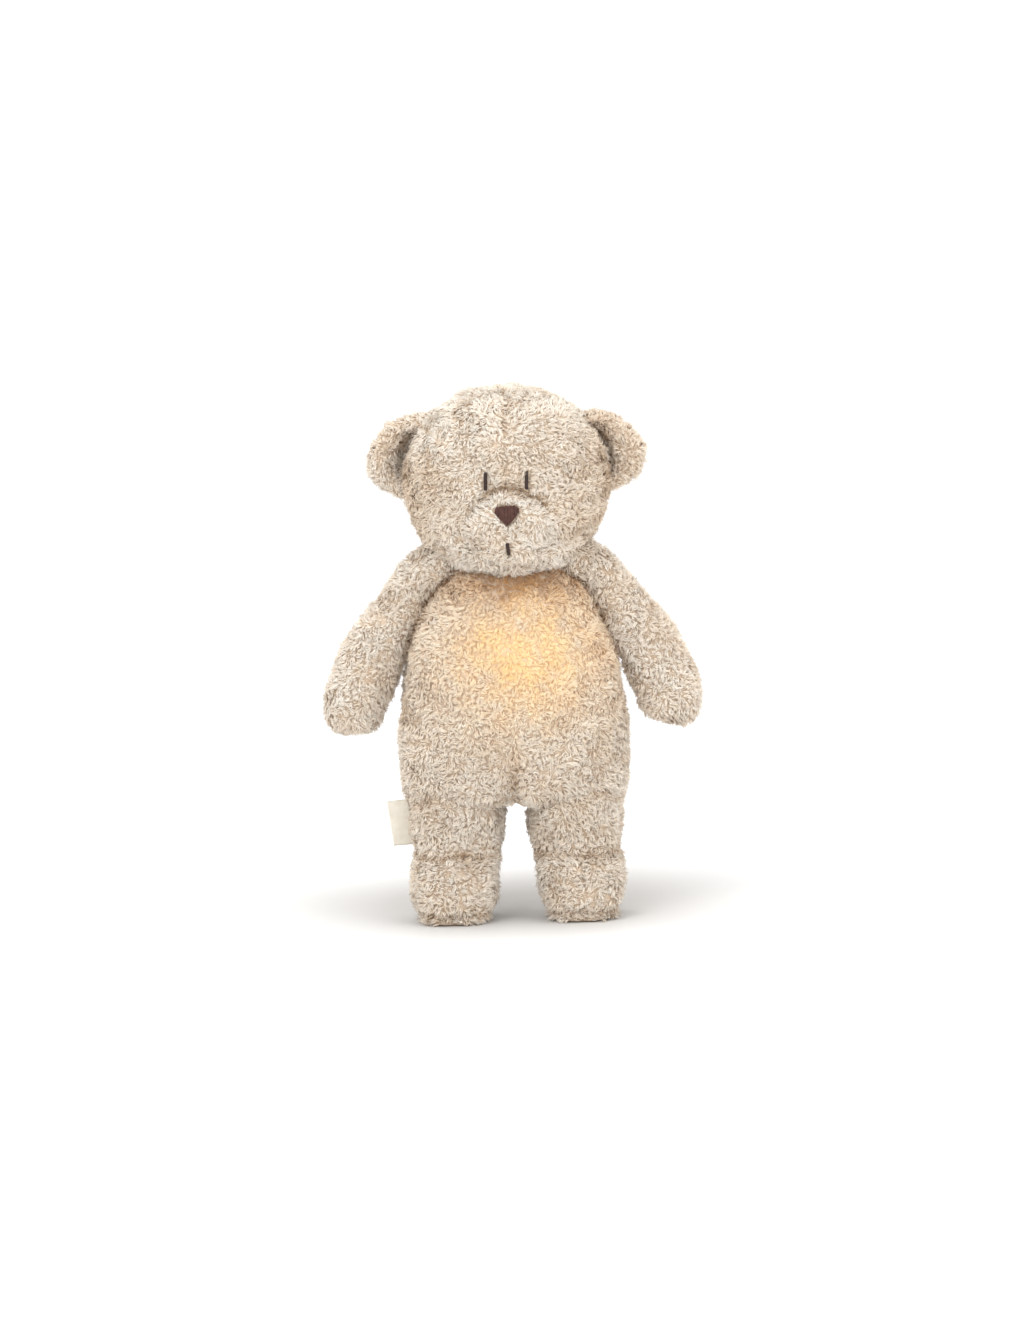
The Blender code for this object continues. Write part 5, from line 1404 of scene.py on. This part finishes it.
# The floor has a painted shadow round the bear: distance from its middle in metres, then tone.
FLOOR_SHADOW_TONES = ((0.02, 0.40), (0.07, 0.50), (0.12, 0.66), (0.17, 0.80), (0.24, 0.91), (0.34, 0.97))
# The painted shadow's middle lies this far behind the bear's.
FLOOR_SHADE_Y = 70 * MM
# The floor runs flat to the back, then bends up into a wall, all in metres.
SWEEP_HALF_WIDTH = 4.0
SWEEP_FRONT = -3.0
SWEEP_BACK = 2.2
SWEEP_RADIUS = 1.0
SWEEP_HEIGHT = 3.0


def towards(spot, target):
    return (target - spot).to_track_quat("-Z", "Y").to_matrix()


def make_studio():
    scene = bpy.context.scene
    scene.view_settings.view_transform = "Standard"
    scene.world = bpy.data.worlds.new("studio")
    scene.world.use_nodes = True
    background = scene.world.node_tree.nodes["Background"]
    background.inputs["Color"].default_value = (1.0, 1.0, 1.0, 1.0)
    background.inputs["Strength"].default_value = 1.0
    nodes = Nodes("pale_floor")
    # The floor's colour darkens towards a point behind the bear: a painted shadow, a little warm.
    away = nodes.length("LENGTH", nodes.vector("SUBTRACT", nodes.coordinates(), (0.0, FLOOR_SHADE_Y, 0.0)))
    tones = [(distance, (tone, tone**1.04, tone**1.09)) for distance, tone in FLOOR_SHADOW_TONES]
    angles = np.linspace(0, math.pi / 2, 13)
    y = np.array([SWEEP_FRONT, *(SWEEP_BACK + SWEEP_RADIUS * np.sin(angles)), SWEEP_BACK + SWEEP_RADIUS])
    z = np.array([0.0, *(SWEEP_RADIUS * (1 - np.cos(angles))), SWEEP_HEIGHT])
    grid = points_of((-SWEEP_HALF_WIDTH, SWEEP_HALF_WIDTH), y[:, None], z[:, None])
    low = np.arange(0, 2 * len(y) - 2, 2)
    quads = points_of(low, low + 1, low + 3, low + 2)
    floor = thing_of("floor", mesh_of("floor", Shape(grid.reshape(-1, 3), quads, np.zeros((0, 3), int))))
    floor.data.materials.append(nodes.dress(Base_Color=nodes.ramp(away, *tones), Roughness=0.6))
    for name, spot, size, power in LAMPS:
        light = bpy.data.lights.new(name, "AREA")
        light.shape = "DISK"
        light.size = size
        light.energy = power
        lamp = thing_of(name, light)
        lamp.location = spot
        lamp.rotation_euler = towards(Vector(spot), LAMP_TARGET).to_euler()


# The camera stands level with the bear's feet and looks a little down, as the photograph does.
PICTURE_HEIGHT = 1319
METRES_PER_PIXEL = 0.5535 * MM
VIEW_X = -0.8 * MM
VIEW_Z = 143.2 * MM
CAMERA_DISTANCE = 3.2
CAMERA_RISE_DEG = 5.5
CAMERA_ROLL_DEG = 1.75


def make_camera():
    data = bpy.data.cameras.new("camera")
    data.sensor_fit = "VERTICAL"
    data.angle_y = 2 * math.atan(PICTURE_HEIGHT * METRES_PER_PIXEL / 2 / CAMERA_DISTANCE)
    data.clip_end = 30.0
    camera = thing_of("camera", data)
    rise = math.radians(CAMERA_RISE_DEG)
    target = Vector((VIEW_X, 0, VIEW_Z))
    camera.location = target + CAMERA_DISTANCE * Vector((0, -math.cos(rise), math.sin(rise)))
    roll = Matrix.Rotation(math.radians(-CAMERA_ROLL_DEG), 3, "Z")
    camera.rotation_euler = (towards(camera.location, target) @ roll).to_euler()
    bpy.context.scene.camera = camera


# Where the pile stands, how it lies, and where it carries painted shade and highlights

# How long the locks are.
TORSO_PILE = 4.7 * MM
HEAD_PILE = 4.4 * MM
ARM_PILE = 4.6 * MM
LEG_PILE = 4.7 * MM
EAR_PILE = 4.4 * MM
# Painted shade and painted highlights on the pile: where each starts, and where it is full.
UNDER_CHIN_Z = (170 * MM, 188 * MM)
UNDER_CHIN_Y = (12 * MM, 0.0)
CROTCH_SHADE_Z = (102 * MM, 88 * MM)
FLANK_X = (32 * MM, 56 * MM)
FLANK_LOW_Z = 100 * MM
BROW_SHADE_Z = (236 * MM, 250 * MM)
CHEEK_X = (24 * MM, 48 * MM)
CHEEK_Z = (266 * MM, 244 * MM)
CROWN_Z = (256 * MM, 284 * MM)
CHIN_Z = (216 * MM, 204 * MM)
EAR_HOLLOW_EDGE = (8.5 * MM, 5 * MM)
EAR_HOLLOW_BACK = 3 * MM
# How wide the painted shade along seams and beside the ears is.
FLAP_SHADE_WIDTH = 1.6 * MM
UNDER_CHIN_WIDTH = 26 * MM
CROTCH_SHADE_WIDTH = 2.6 * MM
BROW_SHADE_WIDTH = 2.2 * MM
BESIDE_EAR = 12 * MM
BESIDE_EAR_WIDTH = 9 * MM
SOLE_SHADE_WIDTH = 1.2 * MM
ANKLE_SHADE_WIDTH = 2.3 * MM
# How far apart the small and the large uneven places of the glow are.
GLOW_SPOT_SIZE = 9 * MM
GLOW_CLOUD_SIZE = 22 * MM
# The pile of torso and flap leaves a gap between them.
TORSO_PARTING = 0.2 * MM
FLAP_PARTING = 0.3 * MM
# Stitching, as how far within the patch's edge it runs.
POCKET_SEAM_INSET = -1.3 * MM
POCKET_SEAM_DEPTH = FACING_TOP - 0.05 * MM
FLAP_SEAM_INSET = 3.4 * MM
FLAP_SEAM_DEPTH = 4.05 * MM
STRIP_SEAM_INSET = 0.8 * MM
# The pile of the face lies outward from this spot within the second length, and down past the first.
NOSE_SPOT = np.array((0.0, MUZZLE_Y - MUZZLE_HALF[1], 224.5 * MM))
NOSE_LAY_REACH = (34 * MM, 16 * MM)
# Distances in from the flap's edge and up from the floor, where the lay turns and where it has turned.
FLAP_EDGE_LAY = (9 * MM, 2 * MM)
FOOT_LAY_Z = (9 * MM, 4 * MM)
FOOT_PILE_LOW_Z = 1.2 * MM
# Behind the ear's middle the pile lies up and out.
EAR_BACK_Y = (-2 * MM, 3 * MM)


def glow_at(points):
    offset = (points[:, [0, 2]] - (GLOW_X, GLOW_Z)) / (GLOW_HALF_WIDTH, GLOW_HALF_HEIGHT)
    level = np.exp(-((offset**2).sum(axis=1)))
    uneven = 1 + 0.16 * waves(points, GLOW_SPOT_SIZE, 61) + 0.12 * waves(points, GLOW_CLOUD_SIZE, 62)
    return np.clip(level * uneven * (points[:, 1] < MIDDLE_Y), 0, 1)


def clear_of(points, margin, *words):
    """True where a point is further out than a margin from each named form, whose surface is at 1."""
    return np.all([FORMS[word].reach(points) > margin for word in words], axis=0)


def from_surface(points, word):
    return np.abs(FORMS[word].reach(points) - 1.0)


def down(points, normals):
    return np.tile(DOWN, (len(points), 1))


def dress(name, skin, body, replaced, pile, length, shade, cloth="backing", glow=None):
    """A stuffed skin in place of some CAD nodes, and the pile on it."""
    place(name + "_skin", skin, body, cloth, replaced)
    Pile(skin, *pile).make(name + "_pile", body, length, shade, glow)


def keep_torso(points, normals):
    clear = clear_of(points, 0.88, "head") & clear_of(points, 0.55, "left_leg", "right_leg")
    for side, _ in SIDES:
        clear &= arm_reach(points, side) > 0.5
    return clear & (FLAP.within(points, TORSO_PARTING) < 0)


# Painted shade on the torso's pile: under the chin, in the crotch crease, round the arms' roots, along the
# flap's parting line and down the upper sides.
def torso_shade(points):
    x, y, z = points.T
    under_chin = soft_step(*UNDER_CHIN_Z, z) * soft_step(*UNDER_CHIN_Y, y)
    under_chin *= 0.5 + 0.5 * bump(x - GLOW_X, UNDER_CHIN_WIDTH)
    crotch = bump(x, CROTCH_SHADE_WIDTH) * soft_step(*CROTCH_SHADE_Z, z)
    from_arms = [np.abs(arm_reach(points, side) - 1.0) for side, _ in SIDES]
    armpit, crease = (np.minimum(sum(bump(away, width) for away in from_arms), 1) for width in (0.12, 0.05))
    parting = bump(FLAP.within(points), FLAP_SHADE_WIDTH)
    flank = soft_step(*FLANK_X, np.abs(x)) * (z > FLANK_LOW_Z)
    return -0.1 * flank - 0.3 * parting - 0.74 * under_chin - 0.40 * crotch - 0.34 * armpit - 0.5 * crease


def keep_head(points, normals):
    return clear_of(points, 0.85, "torso") & clear_of_stitches(points)


def head_lay(points, normals):
    away = points - NOSE_SPOT
    near = soft_step(*NOSE_LAY_REACH, np.linalg.norm(away, axis=1))[:, None]
    return unit(away) * near + points_of(np.sign(points[:, 0]) * 0.7, 0.0, -0.8) * (1 - near)


# Painted light on the head's pile: highlights on the muzzle's top, the upper front and the chin; painted
# shade in the seam over the muzzle, round the ears' roots, on the lower cheeks and along the forehead seam.
def head_painted_light(points):
    x, y, z = points.T
    crease, dome = muzzle_marks(points)
    from_ears = [np.linalg.norm(points - ear_middle(side), axis=1) for side, _ in SIDES]
    beside_ear = sum(bump(away - BESIDE_EAR, BESIDE_EAR_WIDTH) for away in from_ears)
    cheek = soft_step(*CHEEK_X, np.abs(x)) * soft_step(*CHEEK_Z, z)
    brow = bump(x, BROW_SHADE_WIDTH) * soft_step(*BROW_SHADE_Z, z)
    ahead = 0.13 * soft_step(*CROWN_Z, z) + 0.08 * soft_step(*CHIN_Z, z) - 0.28 * cheek - 0.2 * brow
    return 0.19 * dome - 0.66 * crease - 0.2 * beside_ear + ahead * (y < MIDDLE_Y)


def make_face():
    place("nose_satin", satin_nose(), "head", "thread", ("nose",))
    for side, word in SIDES:
        eye = bar_stitch(side * EYE_X, EYE_Z, EYE_HALF_HEIGHT, EYE_SLANT)
        place(word + "_eye_stitch", eye, "head", "dark_thread", (word + "_eye",))
    mouth = bar_stitch(0.0, MOUTH_Z, MOUTH_HALF_HEIGHT, MOUTH_SLANT)
    place("mouth_bar", mouth, "head", "dark_thread", ("mouth_stitch",))


def make_arm(side, word):
    name = word + "_arm"

    def keep(points, normals):
        return clear_of(points, 0.8, "torso") & clear_of(points, 0.92, "head")

    def lay(points, normals):
        return np.tile((0.5 * side, 0.0, -0.85), (len(points), 1))

    # Painted shade along the crease where the arm meets the torso.
    def shade(points):
        away = from_surface(points, "torso")
        return -0.2 * bump(away, 0.08) - 0.35 * bump(away, 0.03)

    skin = limb_skin(arm_form(side), 31 + side)
    dress(name, skin, name, (name,), (keep, lay, 110 + side), ARM_PILE, shade)


def keep_leg(points, normals):
    return clear_of(points, 0.45, "torso") & (points[:, 2] > FOOT_PILE_LOW_Z) & (normals[:, 2] > -0.7)


def leg_lay(points, normals):
    """Down the leg, but round the foot just over the sole, so that the pile stays off the floor."""
    low = soft_step(*FOOT_LAY_Z, points[:, 2])[:, None]
    outward = unit(normals * (1.0, 1.0, 0.0) + 1e-6)
    return down(points, normals) * (1 - low) + np.cross(DOWN, outward) * low


# Painted shade in the ankle crease, at the hip where the leg meets the torso, and along the front of the sole
# seam.
def leg_shade(points):
    seam = bump(points[:, 2] - SOLE_SEAM_Z, SOLE_SHADE_WIDTH) * (points[:, 1] < MIDDLE_Y)
    hip = bump(from_surface(points, "torso"), 0.05)
    return -0.44 * bump(above_ankle(points), ANKLE_SHADE_WIDTH) - 0.3 * hip - 0.4 * seam


def make_leg(side, word):
    name = word + "_leg"
    place(word + "_sole_panel", sole_skin(word), name, "sole")
    replaced = (name, word + "_foot", word + "_sole")
    pile = (keep_leg, leg_lay, 120 + side)
    dress(name, leg_skin(word, side), name, replaced, pile, LEG_PILE, leg_shade)


def make_ear(side, word):
    name = word + "_ear"
    middle = ear_middle(side)
    hollow = middle - (side * EAR_HOLLOW_SHIFT, 0, 0)

    def keep(points, normals):
        return clear_of(points, 0.96, "head")

    def lay(points, normals):
        behind = soft_step(*EAR_BACK_Y, points[:, 1] - middle[1])[:, None]
        return unit(points - middle + behind * (side * EAR_RADIUS, 0, EAR_RADIUS)) * (1.0, 0.2, 1.0)

    # Painted shade: over the whole ear, more on the left ear than the right, and deepest in the front hollow.
    def shade(points):
        away = points - hollow
        inner = soft_step(*EAR_HOLLOW_EDGE, np.hypot(away[:, 0], away[:, 2] / 1.8))
        return -0.1 - 0.07 * side - 0.55 * inner * (away[:, 1] < EAR_HOLLOW_BACK)

    skin = limb_skin(ear_form(side), 41 + side)
    dress(name, skin, name, (name,), (keep, lay, 130 + side), EAR_PILE, shade)


def keep_flap(points, normals):
    return (normals[:, 1] > -0.15) & (FLAP.within(points, FLAP_PARTING) > 0)


def flap_lay(points, normals):
    near_edge = soft_step(*FLAP_EDGE_LAY, FLAP.within(points))[:, None]
    outward = unit((points - (0.0, 0.0, FLAP.middle_z)) * (1.0, 0.0, 0.8))
    return down(points, normals) * (1 - near_edge) + outward * near_edge


# Painted shade along the flap's parting line, matching the one on the torso.
def flap_shade(points):
    return -0.3 * bump(FLAP.within(points), FLAP_SHADE_WIDTH)


def make_back():
    """The closure flap, its lining and touch fastener, and the pocket under it."""
    bend = flap_bend()
    flap = FLAP.pad(FLAP_ROWS)
    place("flap_shell", flap, bend, "backing", ("closure_flap",))
    place("flap_lining", FLAP.pad(FLAP_LINING_ROWS), bend, "lining")
    Pile(flap, keep_flap, flap_lay, 141).make("flap_pile", bend, TORSO_PILE, flap_shade)
    place("module_pocket", pocket_cup(), "torso", "lining", ("pocket_liner",))
    sewn = joined(POCKET.seam(POCKET_SEAM_INSET, POCKET_SEAM_DEPTH))
    place("pocket_stitching", sewn, "torso", "seam_thread")
    sewn = joined(FLAP.seam(FLAP_SEAM_INSET, FLAP_SEAM_DEPTH))
    place("flap_stitching", sewn, bend, "seam_thread")
    for name, body, node, depth, face, inward, reach in (
        ("hook_tape", "flap", "hook_strip", HOOK_DEPTH, HOOK_DEPTH + 0.7, 1, 0.35),
        ("loop_tape", "torso", "loop_strip", LOOP_DEPTH, LOOP_DEPTH, -1, -0.45),
    ):
        tape = STRIP.pad([(share, depth + deep) for share, deep in STRIP_ROWS])
        pile = strip_pile(face - 0.1 * inward, reach, inward > 0)
        stitches = STRIP.seam(STRIP_SEAM_INSET, (face + 0.05 * inward) * MM)
        place(name, joined([tape, *pile, *stitches]), body, "fastener", (node,))


def make_bear():
    torso_pile = (keep_torso, down, 101)
    torso = torso_skin()
    dress("torso", torso, "torso", ("torso",), torso_pile, TORSO_PILE, torso_shade, "lit", glow_at)
    make_back()
    head_pile = (keep_head, head_lay, 102)
    dress("head", head_skin(), "head", ("head", "muzzle"), head_pile, HEAD_PILE, head_painted_light)
    make_face()
    place("woven_label", label_slab(), "right_leg", "label", ("side_label",))
    for side, word in SIDES:
        make_arm(side, word)
        make_leg(side, word)
        make_ear(side, word)


# The module


def finish_module():
    """Gives each rigid CAD node of the module its finish, by the first of these words in its name."""
    housing = moulded_material("housing_plastic", (0.70, 0.68, 0.63), (0.80, 0.78, 0.74), 2500.0, 0.45)
    rubber = moulded_material("button_rubber", (0.17, 0.15, 0.13), (0.25, 0.22, 0.195), 3000.0, 0.7)
    lens = moulded_material("lit_lens", (1.0, 0.72, 0.36), (1.0, 0.84, 0.52), 900.0, 0.2, emission=3.0)
    steel = metal_material("plated_steel", (0.50, 0.50, 0.48), (0.74, 0.73, 0.70), 0.3)
    painted = metal_material("painted_frame", (0.02, 0.02, 0.02), (0.06, 0.06, 0.06), 0.45, 0.2)
    finishes = {
        "rear_housing": housing,
        "battery_door": housing,
        "front_diffuser": diffuser_material(),
        "circuit_board": board_material(),
        "speaker_frame": painted,
        "microphone": painted,
        "speaker_cone": cone_material(),
        "power_switch": rubber,
        "_button": rubber,
        "contact_plate": steel,
        "screw": steel,
        "battery_spring": steel,
        "battery_": cell_material(),
        "led_": lens,
    }
    for node in frame["nodes"]:
        word = next((word for word in finishes if word in node), None)
        if word:
            for slot in bpy.data.objects[node].material_slots:
                slot.material = finishes[word]


SYMBOL_REACH = 1.35 * MM
SYMBOL_STROKE = 0.42 * MM
SYMBOL_RAISED = 0.18 * MM
SYMBOL_SUNK = 0.05 * MM
RAY_CORNERS = ((0.68, -1), (1.05, -1), (1.05, 1), (0.68, 1))


def symbol_outlines(kind):
    """Flat outlines of a generic button symbol, in its own plane."""
    reach, stroke = SYMBOL_REACH, SYMBOL_STROKE / 2
    bar = [(-reach, -stroke), (reach, -stroke), (reach, stroke), (-reach, stroke)]
    if kind == "play":
        return [[(-0.75 * reach, -reach), (reach, 0.0), (-0.75 * reach, reach)]]
    if kind == "volume_down":
        return [bar]
    if kind == "volume_up":
        post = [(-stroke, stroke), (stroke, stroke), (stroke, reach), (-stroke, reach)]
        return [bar, post, [(x, -y) for x, y in reversed(post)]]
    sun = [[(0.5 * reach * math.cos(turn), 0.5 * reach * math.sin(turn)) for turn in turns(19)]]
    for turn in turns(8):
        ahead = np.array((math.cos(turn), math.sin(turn)))
        side = np.array((-ahead[1], ahead[0]))
        sun.append([tuple(ahead * reach * out + side * stroke * 0.7 * lean) for out, lean in RAY_CORNERS])
    return sun


def make_symbols():
    """A raised generic symbol on each push button, read from behind the bear."""
    for kind in ("play", "light", "volume_down", "volume_up"):
        name = kind + "_button"
        low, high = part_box(name)
        middle = (low + high) / 2
        builder = bmesh.new()
        for outline in symbol_outlines(kind):
            spots = [(middle.x - x, high.y - SYMBOL_SUNK, middle.z + z) for x, z in outline]
            face = builder.faces.new([builder.verts.new(spot) for spot in spots])
            raised = bmesh.ops.extrude_face_region(builder, geom=[face])
            tops = [thing for thing in raised["geom"] if isinstance(thing, bmesh.types.BMVert)]
            bmesh.ops.translate(builder, verts=tops, vec=(0, SYMBOL_RAISED, 0))
        bmesh.ops.recalc_face_normals(builder, faces=builder.faces)
        mesh = bpy.data.meshes.new(kind + "_symbol")
        builder.to_mesh(mesh)
        builder.free()
        place(kind + "_symbol", mesh, name, "ink")


make_camera()
make_studio()
make_bear()
finish_module()
make_symbols()
